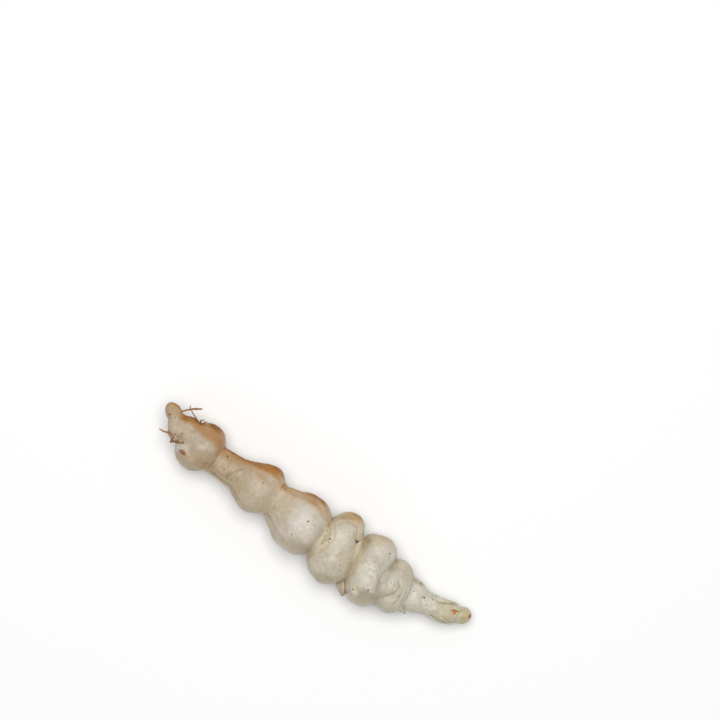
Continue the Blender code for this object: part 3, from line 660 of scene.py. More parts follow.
def paint_skin(p, n, wide, tight, edge, ring):
    """Colour of the skin at points with their directions, in linear light, with painted shade and highlights in it."""
    x = axis_place(p)
    acr = across_place(n)
    facing = n[:, 2]
    crease = 1 - smooth(0.30, 0.85, tight)
    col = blend_stops(x + 3.0 * noise(p, 14.0, 3.0), SKIN_STOPS)
    big = layered(p, 22.0, 21.0, 3)
    mid = layered(p, 7.0, 22.0, 3)
    fine = layered(p, 2.6, 23.0, 2)
    old = 1 - smooth(20, 100, x)
    tan = blend_stops(x, [(-180, srgb(166, 138, 104)), (0, srgb(178, 160, 130)),
                          (190, srgb(182, 172, 142))])
    pale = blend_stops(x, [(-180, srgb(206, 190, 168)), (0, srgb(222, 214, 200)),
                           (190, srgb(216, 212, 192))])
    # clouded flesh
    col = mix(col, tan, (0.42 * smooth(0.0, 1.0, big + 0.55 * mid))[:, None])
    col = mix(col, pale, (0.34 * smooth(0.0, 1.0, -big + 0.45 * mid))[:, None])
    # soft patches of the upper side: tone blotches, painted highlights and painted shade
    up = smooth(0.12, 0.45, facing)
    for k, (centre, radii, deg, rgb, amount) in enumerate(TONE_AND_LIGHT_PATCHES):
        m = spot(p, centre, radii, deg, 0.30, 40 + k, 0.9) * up
        col = mix(col, srgb(*rgb), (amount * m)[:, None])
    col = col * (1 + 0.042 * mid + 0.020 * fine)[:, None]
    # brown band along the +Y side of the older swellings, paler low down: painted contact shade and warm bounced light
    # from neighbouring tubers, with some skin stain
    warm = blend_stops(x, [(-180, srgb(158, 114, 60)), (-120, srgb(162, 111, 42)),
                           (-60, srgb(164, 111, 32)), (-4, srgb(165, 115, 38)),
                           (14, srgb(175, 132, 68)), (28, srgb(181, 143, 88)), (50, srgb(188, 160, 112)),
                           (80, srgb(196, 176, 138)), (190, srgb(196, 182, 142))])
    patchy = layered(p, 11.0, 27.0, 3)
    low = 1 - smooth(-0.60, 0.44, facing + 0.10 * patchy + 0.06 * mid)
    below = 1 - smooth(-0.72, 0.22, facing + 0.14 * patchy + 0.08 * mid)
    strong = warm
    warm = mix(warm, mix(warm, srgb(188, 160, 124), 0.80), low[:, None])
    acr = acr - 0.10 * np.exp(-((x + 33) / 9) ** 2)
    neck = np.exp(-((x + 98) / 12) ** 2)
    full = 0.80 + 0.10 * smooth(-120, -60, x) - 0.10 * neck
    reach = (0.26 + 0.08 * smooth(-80, -40, x) + 0.10 * noise(p, 16.0, 14.0) + 0.16 * np.exp(-((x + 14) / 22) ** 2)
             + 0.20 * neck - 0.16 * np.exp(-((x + 134) / 14) ** 2))
    fade = 1 - smooth(0.15, 1.10, -facing + 0.16 * patchy + 0.10 * mid)
    stain_and_shade = smooth(reach, full, acr) * (0.20 + 0.80 * old) * fade
    light = mix(warm, srgb(190, 156, 114), 0.60)
    col = mix(col, light, np.clip(0.92 * stain_and_shade * (0.92 + 0.16 * mid), 0, 1)[:, None])
    # painted shade: a deeper, saturated brown nearer the +Y edge
    acr = acr - 0.06 * smooth(-70, -40, x)
    acr = acr + 0.035 * patchy + 0.02 * mid
    second = np.exp(-((x + 62) / 22) ** 2)
    start = 0.66 - 0.20 * second - 0.08 * neck - 0.12 * np.exp(-((x + 156) / 16) ** 2)
    deep = smooth(start, start + 0.30 + 0.08 * second, acr) * (0.10 + 0.90 * old) * (1 - below) ** 1.6
    col = mix(col, strong, np.clip(0.93 * deep * (0.92 + 0.18 * mid + 0.12 * patchy + 0.10 * fine), 0, 1)[:, None])
    # painted contact shade: the darkest brown right along the +Y edge
    rim = smooth(0.80, 0.97, acr) * old * (1 - below) ** 2.2
    col = mix(col, srgb(126, 74, 20),
              np.clip(0.72 * rim * (0.85 + 0.28 * mid + 0.24 * patchy + 0.16 * fine), 0, 1)[:, None])
    # where the painted shade band lies; the skin is made rougher there
    shade_band = np.clip(0.6 * deep + 0.6 * rim, 0, 1)
    # painted shade: a greyer tan on the -Y flank, and a painted pale rim light along its very edge
    acr = across_place(n)
    flank_shade = smooth(0.40, 0.85, -acr) * (1 - smooth(0.92, 1.0, -acr))
    col = mix(col, tan, (0.30 * flank_shade)[:, None])
    pale_rim_light = smooth(0.84, 0.97, -acr) * smooth(-0.22, 0.10, facing)
    col = mix(col, srgb(214, 207, 195), (0.36 * pale_rim_light * (0.75 + 0.5 * mid))[:, None])
    # underside: a little darker, with earth stains
    under = smooth(0.15, 0.75, -facing)
    col = col * (1 - 0.06 * under)[:, None]
    soil = smooth(0.45, 0.9, layered(p, 10.0, 51.0, 3)) * smooth(-0.2, 0.5, -facing)
    col = mix(col, srgb(158, 128, 92), (0.40 * soil)[:, None])
    # creases are painted brown, partly stain and partly painted shade, with the old end darker; the broad hollows get
    # a painted tan shade
    tone = blend_stops(x, [(-180, srgb(156, 112, 66)), (20, srgb(172, 136, 88)),
                           (70, srgb(168, 148, 112)), (190, srgb(176, 160, 122))])
    col = mix(col, tone, ((0.58 - 0.14 * smooth(40, 80, x)) * crease)[:, None])
    col = mix(col, tan, (0.32 * (1 - smooth(0.35, 0.9, wide)))[:, None])
    # papery band between the third and fourth swellings
    gap = spot(p, (323.6, 538.4), (15, 3.4), 122, 0.15, 61, 0.7) * up
    col = mix(col, srgb(210, 198, 168), (0.50 * gap)[:, None])
    gap = spot(p, (357.0, 560.0), (15, 2.2), 115, 0.2, 62, 0.7) * up
    col = mix(col, srgb(198, 180, 148), (0.30 * gap)[:, None])
    # papery edges and painted ridge highlights, dark lines and painted groove shade
    col = mix(col, srgb(229, 220, 200), (0.72 * np.clip(edge, 0, 1))[:, None])
    col = mix(col, srgb(240, 235, 226), (0.85 * np.clip(edge - 1, 0, 1))[:, None])
    col = mix(col, srgb(142, 106, 64), (0.62 * np.clip(-edge, 0, 1))[:, None])
    col = mix(col, srgb(230, 218, 186), (0.40 * ring)[:, None])
    # scars
    for k, (centre, radii, deg, deep, kind) in enumerate(SCARS):
        m = spot(p, centre, radii, deg, 0.35, 30 + k) * (facing > 0)
        light, dark = (srgb(*tone) for tone in SCAR_TONES[kind])
        shade = mix(light, dark, smooth(-0.3, 0.5, noise(p, 1.3, 33))[:, None])
        col = mix(col, shade, np.clip(0.95 * deep * m, 0, 1)[:, None])
    return np.clip(col, 0.0, 1.0), shade_band


def make_tuber():
    mid, turn, lean, at = even_rows()
    # columns lie closer together over the top than underneath
    s = np.arange(ROUND) / ROUND
    around = math.pi / 2 + (2 * math.pi * (s - 0.5) - 0.32 * np.sin(2 * math.pi * (s - 0.5)))
    rows, cols = len(mid), ROUND
    M = np.repeat(mid[:, None, :], cols, 1)
    T = np.repeat(turn[:, None], cols, 1)
    L = np.repeat(lean[:, None], cols, 1)
    A = np.repeat(around[None, :], rows, 0)
    ray = ray_of(T, L, A)
    flat_m, flat_r = M.reshape(-1, 3), ray.reshape(-1, 3)
    reach = reach_skin(flat_m, flat_r, steps=46)
    p = flat_m + flat_r * reach[:, None]
    n = tuber_normal(p)
    facing = n[:, 2]
    wide = openness(p, n, 10.0)
    tight = openness(p, n, 3.0)

    height, edge = fold_field(p, facing)
    # slack wrinkles near the nodes, running along the tuber
    stretch = np.stack([axis_place(p) * 0.22, p[:, 1] - p[:, 0] * 0.35, p[:, 2]], 1)
    near_node = np.exp(-((wide - 0.35) / 0.28) ** 2)
    wrinkle = noise(stretch, 3.1, 5.0) * 0.24 + noise(stretch, 1.7, 6.0) * 0.10
    height += wrinkle * near_node
    # slow waves and dimples all over
    height += layered(p, 9.0, 8.0, 2) * 0.24 + noise(p, 3.2, 9.0) * 0.07
    # papery rings round every node on all sides
    ring = np.exp(-((tight - 0.48) / 0.11) ** 2)
    ring *= smooth(-0.1, 0.5, noise(p, 14.0, 12.0) + 0.25)
    ring *= 1 - 0.75 * smooth(0.0, 0.5, facing)
    height += ring * 0.28
    # faint lengthwise folds on the sides and underneath
    fold = noise(np.stack([axis_place(p) * 0.30, p[:, 1] - p[:, 0] * 0.7, p[:, 2]], 1), 7.0, 15.0)
    fold = np.exp(-(fold / 0.10) ** 2) * smooth(0.1, -0.4, facing) * smooth(-0.3, 0.5, noise(p, 24.0, 16.0))
    height += fold * 0.35
    for centre, radii, deg, deep, _ in SCARS:
        height -= spot(p, centre, radii, deg) * (facing > 0) * 0.5 * deep
    col, shade_band = paint_skin(p, n, wide, tight, edge + 0.35 * fold, ring)
    p = p + n * (height - 0.25)[:, None]
    # it rests on the table on small flat patches
    p[:, 2] = np.where(np.abs(p[:, 2]) < 1.8, (p[:, 2] + 1.8) ** 2 / 7.2, np.maximum(p[:, 2], 0.0))

    world = to_world(p)
    co = world.reshape(rows, cols, 3)
    verts = np.concatenate([world, co[0].mean(0)[None], co[-1].mean(0)[None]])
    idx = np.arange(rows * cols).reshape(rows, cols)
    a, b = idx[1:rows - 2], idx[2:rows - 1]
    a2, b2 = np.roll(a, -1, 1), np.roll(b, -1, 1)
    faces = np.stack([a, b, b2, a2], -1).reshape(-1, 4).tolist()
    tip0, tip1 = rows * cols, rows * cols + 1
    for k in range(cols):
        k2 = (k + 1) % cols
        faces.append([tip0, int(idx[1, k]), int(idx[1, k2])])
        faces.append([tip1, int(idx[rows - 2, k2]), int(idx[rows - 2, k])])
    mesh = make_mesh("tuber_skin", verts, faces)
    pole = np.stack([col[:cols].mean(0), col[-cols:].mean(0)])
    colour_attribute(mesh, "skin_colour_with_painted_light", np.concatenate([col, pole]))
    value_attribute(mesh, "crease", np.concatenate([1 - wide, [0.0, 0.0]]))
    value_attribute(mesh, "shade_band", np.concatenate([shade_band, [0.0, 0.0]]))

    # the texture map: the skin unrolled, cut across the middle into two strips
    half = rows // 2
    u_of = np.concatenate([np.tile(s, rows), [0.0, 0.0]])
    v_row = at / at[-1]
    loops = np.empty(len(mesh.loops), np.int64)
    mesh.loops.foreach_get("vertex_index", loops)
    totals = np.empty(len(mesh.polygons), np.int64)
    mesh.polygons.foreach_get("loop_total", totals)
    face_of = np.repeat(np.arange(len(totals)), totals)
    row_of = np.where(loops < rows * cols, loops // cols, np.where(loops == tip0, 0, rows - 1))
    first = np.full(len(totals), 10 ** 9)
    np.minimum.at(first, face_of, row_of)
    second = first[face_of] >= half
    u = u_of[loops]
    top_u = np.zeros(len(totals))
    np.maximum.at(top_u, face_of, np.where(loops < rows * cols, u, 0))
    u = np.where((top_u[face_of] > 0.8) & (u < 0.2), u + 1.0, u)
    u = np.where(loops >= rows * cols, top_u[face_of] - 0.5 / cols, u)
    v = np.where(second, (v_row[row_of] - v_row[half]) / (1 - v_row[half]),
                 v_row[row_of] / v_row[half])
    u = 0.004 + 0.488 * u / (1 + 1.0 / cols) + 0.502 * second
    v = 0.004 + 0.992 * v
    uv = mesh.uv_layers.new(name="OFBake")
    uv.data.foreach_set("uv", np.stack([u, v], 1).astype(np.float32).ravel())

    # dots: fixed ones on top, scattered ones on the other sides
    rng = np.random.default_rng(7)
    dots = []
    top = np.where(facing > 0.1)[0]
    for x, y, r, strength in DOTS:
        k = top[np.argmin((p[top, 0] - x) ** 2 + (p[top, 1] - y) ** 2 - 0.02 * p[top, 2])]
        dots.append((world[k], 1.12 * r * PLAN_UNIT, 1.1 * strength))
    rest = np.where((facing < 0.05) & (p[:, 2] > 0.5))[0]
    for k in rng.choice(rest, 46, replace=False):
        dots.append((world[k], rng.uniform(0.5, 1.1) * PLAN_UNIT, rng.uniform(0.3, 0.95)))
    print("tuber_skin", rows, cols, len(faces))
    add_object("tuber_skin", mesh, skin_material(dots), ("tuber_body",))
    return p, facing


# ------------------------------------------------------------------ materials
def new_material(name):
    mat = bpy.data.materials.new(name)
    mat.use_nodes = True
    nt = mat.node_tree
    nt.nodes.clear()
    out = nt.nodes.new("ShaderNodeOutputMaterial")
    bsdf = nt.nodes.new("ShaderNodeBsdfPrincipled")
    nt.links.new(bsdf.outputs[0], out.inputs["Surface"])
    return mat, nt, bsdf


def noise_node(nt, coord, scale, detail=3.0, rough=0.5, distort=0.0):
    n = nt.nodes.new("ShaderNodeTexNoise")
    n.inputs["Scale"].default_value = scale
    n.inputs["Detail"].default_value = detail
    n.inputs["Roughness"].default_value = rough
    n.inputs["Distortion"].default_value = distort
    nt.links.new(coord, n.inputs["Vector"])
    return n


def ramp(nt, source, stops):
    n = nt.nodes.new("ShaderNodeValToRGB")
    cr = n.color_ramp
    while len(cr.elements) < len(stops):
        cr.elements.new(0.5)
    for el, (pos, val) in zip(cr.elements, stops):
        el.position = pos
        el.color = (*val, 1.0) if isinstance(val, (tuple, list, np.ndarray)) else (val, val, val, 1.0)
    nt.links.new(source, n.inputs["Fac"])
    return n.outputs["Color"]


def mix_colour(nt, mode, fac, a, b):
    n = nt.nodes.new("ShaderNodeMix")
    n.data_type = "RGBA"
    n.blend_type = mode
    for sock, value in ((n.inputs[0], fac), (n.inputs[6], a), (n.inputs[7], b)):
        if hasattr(value, "links"):
            nt.links.new(value, sock)
        elif isinstance(value, (int, float)):
            sock.default_value = value
        else:
            sock.default_value = (*value, 1.0)
    return n.outputs[2]


def maths(nt, op, a, b=None, c=None, clamp=False):
    n = nt.nodes.new("ShaderNodeMath")
    n.operation = op
    n.use_clamp = clamp
    for sock, value in zip(n.inputs, (a, b, c)):
        if value is None:
            continue
        if hasattr(value, "links"):
            nt.links.new(value, sock)
        else:
            sock.default_value = value
    return n.outputs[0]


def attribute(nt, name):
    n = nt.nodes.new("ShaderNodeAttribute")
    n.attribute_name = name
    return n


def bump(nt, height, strength, distance, before=None):
    n = nt.nodes.new("ShaderNodeBump")
    n.inputs["Strength"].default_value = strength
    n.inputs["Distance"].default_value = distance
    nt.links.new(height, n.inputs["Height"])
    if before is not None:
        nt.links.new(before, n.inputs["Normal"])
    return n.outputs["Normal"]


def dot_mask(nt, coord, dots):
    """Darkness of small round-ish marks at fixed places."""
    shake = noise_node(nt, coord, 3200.0, 2.0)
    off = nt.nodes.new("ShaderNodeVectorMath")
    off.operation = "SUBTRACT"
    nt.links.new(shake.outputs["Color"], off.inputs[0])
    off.inputs[1].default_value = (0.5, 0.5, 0.5)
    scaled = nt.nodes.new("ShaderNodeVectorMath")
    scaled.operation = "SCALE"
    nt.links.new(off.outputs[0], scaled.inputs[0])
    scaled.inputs["Scale"].default_value = 0.00032
    moved = nt.nodes.new("ShaderNodeVectorMath")
    moved.operation = "ADD"
    nt.links.new(coord, moved.inputs[0])
    nt.links.new(scaled.outputs[0], moved.inputs[1])
    total = None
    for place, radius, strength in dots:
        d = nt.nodes.new("ShaderNodeVectorMath")
        d.operation = "DISTANCE"
        nt.links.new(moved.outputs[0], d.inputs[0])
        d.inputs[1].default_value = tuple(float(v) for v in place)
        v = maths(nt, "MULTIPLY_ADD", d.outputs["Value"],
                  float(-1.7 * strength / radius), float(1.7 * strength))
        total = v if total is None else maths(nt, "MAXIMUM", total, v)
    return maths(nt, "MINIMUM", maths(nt, "MAXIMUM", total, 0.0), 1.0)


def skin_material(dots):
    mat, nt, bsdf = new_material("tuber_skin")
    tone = attribute(nt, "skin_colour_with_painted_light")
    crease = attribute(nt, "crease")
    shade_band = attribute(nt, "shade_band")
    coord = nt.nodes.new("ShaderNodeTexCoord").outputs["Object"]
    # cloudy flesh under a thin skin
    cloud = noise_node(nt, coord, 620.0, 4.0, 0.62, 0.5)
    cloud_tone = ramp(nt, cloud.outputs["Fac"], [(0.30, (0.91, 0.89, 0.85)), (0.47, (1, 1, 1)),
                                                 (0.70, (1.05, 1.045, 1.04))])
    col = mix_colour(nt, "MULTIPLY", 1.0, tone.outputs["Color"], cloud_tone)
    # fine grain and pores
    grain = noise_node(nt, coord, 2600.0, 4.0, 0.62, 0.2)
    grain_tone = ramp(nt, grain.outputs["Fac"], [(0.30, (0.90, 0.88, 0.84)), (0.50, (1, 1, 1)),
                                                 (0.75, (1.05, 1.05, 1.05))])
    col = mix_colour(nt, "MULTIPLY", 0.55, col, grain_tone)
    mottle = noise_node(nt, coord, 1250.0, 3.0, 0.55, 0.3)
    mottle_tone = ramp(nt, mottle.outputs["Fac"], [(0.34, (0.90, 0.885, 0.85)), (0.50, (1, 1, 1)),
                                                   (0.68, (1.05, 1.045, 1.04))])
    col = mix_colour(nt, "MULTIPLY", 0.50, col, mottle_tone)
    # hair-fine lines in the skin
    web = nt.nodes.new("ShaderNodeTexVoronoi")
    web.feature = "DISTANCE_TO_EDGE"
    web.inputs["Scale"].default_value = 330.0
    bend = noise_node(nt, coord, 500.0, 2.0)
    bent = nt.nodes.new("ShaderNodeVectorMath")
    bent.operation = "MULTIPLY_ADD"
    nt.links.new(bend.outputs["Color"], bent.inputs[0])
    bent.inputs[1].default_value = (0.0022, 0.0022, 0.0022)
    nt.links.new(coord, bent.inputs[2])
    nt.links.new(bent.outputs[0], web.inputs["Vector"])
    line = ramp(nt, web.outputs["Distance"], [(0.0, 1.0), (0.035, 0.0)])
    where = noise_node(nt, coord, 190.0, 2.0)
    shown = ramp(nt, where.outputs["Fac"], [(0.52, 0.0), (0.70, 0.14)])
    col = mix_colour(nt, "MIX", maths(nt, "MULTIPLY", line, shown), col, tuple(srgb(158, 132, 94)))
    # crinkles: thin uneven steps, with painted shade on their low side
    fold_a = noise_node(nt, coord, 430.0, 3.0, 0.55, 1.3)
    fold_b = noise_node(nt, coord, 760.0, 3.0, 0.55, 1.6)
    steps_a = ramp(nt, fold_a.outputs["Fac"], [(0.475, 0.0), (0.505, 1.0)])
    steps_b = ramp(nt, fold_b.outputs["Fac"], [(0.52, 0.0), (0.545, 1.0)])
    crinkle = maths(nt, "MULTIPLY_ADD", steps_b, 0.6, steps_a)
    shade_a = ramp(nt, fold_a.outputs["Fac"], [(0.455, 0.0), (0.485, 1.0), (0.515, 0.0)])
    shade_b = ramp(nt, fold_b.outputs["Fac"], [(0.505, 0.0), (0.525, 1.0), (0.55, 0.0)])
    area = noise_node(nt, coord, 150.0, 2.0)
    slack = ramp(nt, area.outputs["Fac"], [(0.44, 0.0), (0.66, 0.22)])
    shade = maths(nt, "MAXIMUM", shade_a, maths(nt, "MULTIPLY", shade_b, 0.7))
    col = mix_colour(nt, "MIX", maths(nt, "MULTIPLY", shade, slack), col, tuple(srgb(150, 130, 98)))
    # sparse tan flecks
    cells = nt.nodes.new("ShaderNodeTexVoronoi")
    cells.feature = "F1"
    cells.inputs["Scale"].default_value = 760.0
    nt.links.new(coord, cells.inputs["Vector"])
    fleck = ramp(nt, cells.outputs["Distance"], [(0.08, 1.0), (0.20, 0.0)])
    pick = noise_node(nt, coord, 300.0, 2.0)
    picked = ramp(nt, pick.outputs["Fac"], [(0.54, 0.0), (0.66, 0.50)])
    col = mix_colour(nt, "MIX", maths(nt, "MULTIPLY", fleck, picked), col, tuple(srgb(156, 126, 86)))
    # dark dots with a faint stain round them
    mask = dot_mask(nt, coord, dots)
    halo = maths(nt, "MULTIPLY", ramp(nt, mask, [(0.0, 0.0), (0.35, 1.0)]), 0.45)
    core = ramp(nt, mask, [(0.25, 0.0), (0.85, 1.0)])
    col = mix_colour(nt, "MIX", halo, col, tuple(srgb(160, 128, 86)))
    col = mix_colour(nt, "MIX", core, col, tuple(srgb(72, 48, 28)))
    nt.links.new(col, bsdf.inputs["Base Color"])
    # sheen of a moist skin, duller in the creases and under the painted shade band
    rough = ramp(nt, cloud.outputs["Fac"], [(0.3, 0.44), (0.7, 0.35)])
    rough = maths(nt, "MULTIPLY_ADD", shade_band.outputs["Fac"], 0.32, rough)
    nt.links.new(maths(nt, "MULTIPLY_ADD", crease.outputs["Fac"], 0.25, rough), bsdf.inputs["Roughness"])
    # surface relief: soft waves and the low steps of crinkled skin
    wave = noise_node(nt, coord, 900.0, 4.0, 0.55, 0.4)
    normal = bump(nt, wave.outputs["Fac"], 0.45, 0.00014)
    normal = bump(nt, crinkle, 0.55, 0.00007, normal)
    normal = bump(nt, grain.outputs["Fac"], 0.30, 0.00004, normal)
    normal = bump(nt, maths(nt, "SUBTRACT", 1.0, line), 0.06, 0.00003, normal)
    nt.links.new(normal, bsdf.inputs["Normal"])
    bsdf.inputs["Subsurface Weight"].default_value = 0.42
    bsdf.inputs["Subsurface Radius"].default_value = (1.0, 0.62, 0.35)
    bsdf.inputs["Subsurface Scale"].default_value = 0.0012
    bsdf.inputs["Specular IOR Level"].default_value = 0.40
    bsdf.inputs["IOR"].default_value = 1.40
    return mat


def root_material():
    mat, nt, bsdf = new_material("rootlet_bark")
    tone = attribute(nt, "root_tone")
    coord = nt.nodes.new("ShaderNodeTexCoord").outputs["Object"]
    grain = noise_node(nt, coord, 3800.0, 3.0, 0.6)
    grain_tone = ramp(nt, grain.outputs["Fac"], [(0.3, (0.62, 0.58, 0.54)), (0.52, (1, 1, 1)),
                                                 (0.75, (1.35, 1.30, 1.22))])
    col = mix_colour(nt, "MULTIPLY", 0.9, tone.outputs["Color"], grain_tone)
    nt.links.new(col, bsdf.inputs["Base Color"])
    bsdf.inputs["Roughness"].default_value = 0.62
    nt.links.new(bump(nt, grain.outputs["Fac"], 0.5, 0.00005), bsdf.inputs["Normal"])
    bsdf.inputs["Specular IOR Level"].default_value = 0.30
    return mat


def leaf_material():
    mat, nt, bsdf = new_material("scale_paper")
    tone = attribute(nt, "leaf_tone")
    coord = nt.nodes.new("ShaderNodeTexCoord").outputs["Object"]
    cloud = noise_node(nt, coord, 1100.0, 3.0, 0.6)
    cloud_tone = ramp(nt, cloud.outputs["Fac"], [(0.3, (0.84, 0.81, 0.75)), (0.52, (1, 1, 1)),
                                                 (0.75, (1.06, 1.06, 1.05))])
    col = mix_colour(nt, "MULTIPLY", 1.0, tone.outputs["Color"], cloud_tone)
    nt.links.new(col, bsdf.inputs["Base Color"])
    rough = ramp(nt, cloud.outputs["Fac"], [(0.3, 0.55), (0.7, 0.40)])
    nt.links.new(rough, bsdf.inputs["Roughness"])
    nt.links.new(bump(nt, cloud.outputs["Fac"], 0.35, 0.00005), bsdf.inputs["Normal"])
    bsdf.inputs["Subsurface Weight"].default_value = 0.12
    bsdf.inputs["Subsurface Radius"].default_value = (1.0, 0.75, 0.5)
    bsdf.inputs["Subsurface Scale"].default_value = 0.0006
    bsdf.inputs["Specular IOR Level"].default_value = 0.35
    return mat


# -------------------------------------------------------------------- rootlets
def tube(points, radii, seed, sides=9, step=0.7, wander=0.22):
    """Closed tapering tube through plan points, a little crooked."""
    n = len(points)
    data = np.concatenate([np.array(points, float), np.array(radii, float)[:, None]], 1)
    line = route(data, step)
    mid, rad = line[:, :3], line[:, 3]
    t = np.linspace(0, 1, len(mid))
    sway = np.stack([noise(mid, 3.0, seed + k) for k in range(3)], 1)
    mid = mid + sway * (wander * np.sin(np.pi * np.clip(t, 0, 1)))[:, None]
    ahead = np.gradient(mid, axis=0)
    ahead /= np.linalg.norm(ahead, axis=1, keepdims=True)
    ref = np.array([0.3, 0.2, 1.0])
    u = np.cross(ahead, ref)
    u /= np.linalg.norm(u, axis=1, keepdims=True)
    v = np.cross(ahead, u)
    ang = np.arange(sides) / sides * 2 * np.pi
    ring = (u[:, None] * np.cos(ang)[None, :, None] + v[:, None] * np.sin(ang)[None, :, None])
    flat = (mid[:, None] + ring * 0.5).reshape(-1, 3)
    uneven = (1 + 0.22 * noise(flat, 1.3, seed + 5)).reshape(len(mid), sides)
    pts = mid[:, None] + ring * (rad[:, None] * uneven)[:, :, None]
    verts = np.concatenate([pts.reshape(-1, 3), mid[:1] - ahead[:1] * rad[0] * 0.5,
                            mid[-1:] + ahead[-1:] * rad[-1] * 0.9])
    faces = []
    for r in range(len(mid) - 1):
        for k in range(sides):
            k2 = (k + 1) % sides
            faces.append([r * sides + k, r * sides + k2, (r + 1) * sides + k2, (r + 1) * sides + k])
    a, b = len(mid) * sides, len(mid) * sides + 1
    for k in range(sides):
        k2 = (k + 1) % sides
        faces.append([a, k2, k])
        faces.append([b, (len(mid) - 1) * sides + k, (len(mid) - 1) * sides + k2])
    share = np.concatenate([np.repeat(t, sides), [0.0, 1.0]])
    return verts, faces, share


def rootlet_piece(name, tubes, mat, replaced, dark=1.0):
    verts, faces, cols, start = [], [], [], 0
    for k, (points, radii, root, tip) in enumerate(tubes):
        v, f, share = tube(points, radii, 3.1 * k + len(name))
        verts.append(v)
        faces += [[i + start for i in face] for face in f]
        c = mix(srgb(*root)[None], srgb(*tip)[None], share[:, None])
        c = c * (1 + 0.35 * noise(v, 2.0, 71 + k))[:, None]
        cols.append(np.clip(c, 0, 1))
        start += len(v)
    mesh = make_mesh(name, to_world(np.concatenate(verts)), faces)
    colour_attribute(mesh, "root_tone", np.concatenate(cols))
    return add_object(name, mesh, mat, replaced)


def make_rootlets(mat):
    brown, orange, dark, straw = (146, 108, 74), (168, 118, 66), (84, 62, 42), (208, 190, 154)
    pink = (166, 128, 100)
    rootlet_piece("root_long", [
        ([(178.0, 412.4, 34), (182, 411.2, 35), (186.6, 410.2, 35.6), (191.4, 409.2, 35.9),
          (196, 408.8, 35.8), (202.4, 408.9, 35)], [1.7, 1.15, 0.85, 0.95, 1.0, 0.75], orange, brown),
        ([(186.2, 410.3, 35.6), (187.4, 409.3, 36.6), (188.0, 408.4, 37.2)], [0.35, 0.25, 0.12], brown, brown),
        ([(195.0, 409.0, 35.7), (196.6, 410.0, 36.2), (197.8, 410.3, 36.8)], [0.32, 0.22, 0.12], brown, brown),
    ], mat, ("rootlet_long",))
    rootlet_piece("root_thin", [
        ([(200.2, 424.4, 35), (199.0, 421.6, 37.4), (196.6, 417.6, 39), (193.4, 412.6, 40.5),
          (191.3, 408.4, 41), (191.7, 404.8, 41.5)], [0.9, 0.8, 0.7, 0.62, 0.5, 0.3], brown, pink),
        ([(191.7, 409.4, 40.9), (190.3, 407.9, 41.4), (189.4, 406.6, 42.0)], [0.3, 0.25, 0.12], brown, brown),
    ], mat, ("rootlet_thin",))
    rootlet_piece("root_stub_a", [
        ([(199.8, 424.2, 34), (201.2, 421.6, 35.2), (203.0, 420.2, 35.9), (204.8, 419.4, 36.4)],
         [0.85, 0.7, 0.5, 0.25], brown, dark),
        ([(201.4, 421.4, 35.4), (200.8, 420.4, 36.6), (201.4, 419.4, 37.4)], [0.45, 0.35, 0.2], dark, brown),
        ([(202.6, 420.6, 35.8), (203.0, 419.0, 36.8)], [0.35, 0.15], dark, dark),
    ], mat, ("rootlet_stub_a",))
    rootlet_piece("root_stub_b", [
        ([(201.6, 425.0, 33), (203.4, 423.4, 34.4), (205.6, 422.4, 34.8), (207.8, 422.0, 34.0)],
         [0.8, 0.65, 0.45, 0.22], brown, dark),
        ([(204.4, 422.8, 34.6), (205.0, 421.4, 35.4), (206.2, 420.8, 36)], [0.4, 0.30, 0.16], dark, brown),
        ([(203.4, 423.6, 33.0), (205.0, 423.0, 34.2), (206.8, 422.9, 34.6)], [0.32, 0.28, 0.16], straw, straw),
    ], mat, ("rootlet_stub_b",))
    rootlet_piece("root_left", [
        ([(171.4, 441.4, 35.6), (172.6, 439.4, 38.6), (173.4, 437.0, 43.2), (172.2, 434.6, 43.9),
          (170.0, 432.9, 42.2), (167.1, 431.7, 40.8), (164.2, 431.0, 39.8), (161.7, 429.5, 39.0),
          (159.9, 428.6, 38.4)], [1.0, 1.3, 1.45, 1.35, 1.2, 1.05, 0.9, 0.8, 0.45], brown, pink),
        ([(171.6, 434.2, 42.9), (173.4, 435.6, 44.0), (174.8, 437.4, 43.6)], [0.5, 0.55, 0.3], dark, brown),
        ([(168.4, 431.8, 41.4), (167.0, 433.0, 41.0)], [0.4, 0.15], pink, brown),
        ([(173.8, 438.6, 40.9), (175.4, 439.6, 41.0), (177.4, 439.2, 42.8)], [0.55, 0.6, 0.3], straw, straw),
        ([(175.0, 436.6, 44.0), (176.6, 437.6, 44.1), (177.8, 438.8, 43.2)], [0.45, 0.5, 0.25], straw, straw),
    ], mat, ("rootlet_left",))
    rootlet_piece("root_creeping", [
        ([(170.2, 441.9, 33.6), (172.0, 441.4, 34.2), (174.4, 441.2, 35.3), (177.5, 441.6, 40.2),
          (181.4, 442.1, 44.2), (185.0, 442.3, 45.9)], [0.7, 1.1, 1.15, 1.15, 1.15, 0.7], brown, brown),
        ([(171.6, 440.2, 36.6), (174.0, 440.6, 36.9), (176.6, 441.0, 39.4)], [0.35, 0.55, 0.4], pink, brown),
        ([(180.4, 441.2, 43.4), (182.0, 440.2, 45.1), (183.6, 439.2, 46.8)], [0.55, 0.5, 0.2], straw, straw),
        ([(182.6, 442.0, 44.8), (184.0, 440.9, 46.1)], [0.5, 0.2], dark, brown),
        ([(175.4, 442.2, 34.8), (178.0, 443.0, 39.9), (180.6, 443.0, 42.8)], [0.4, 0.45, 0.2], pink, brown),
    ], mat, ("rootlet_creeping",))


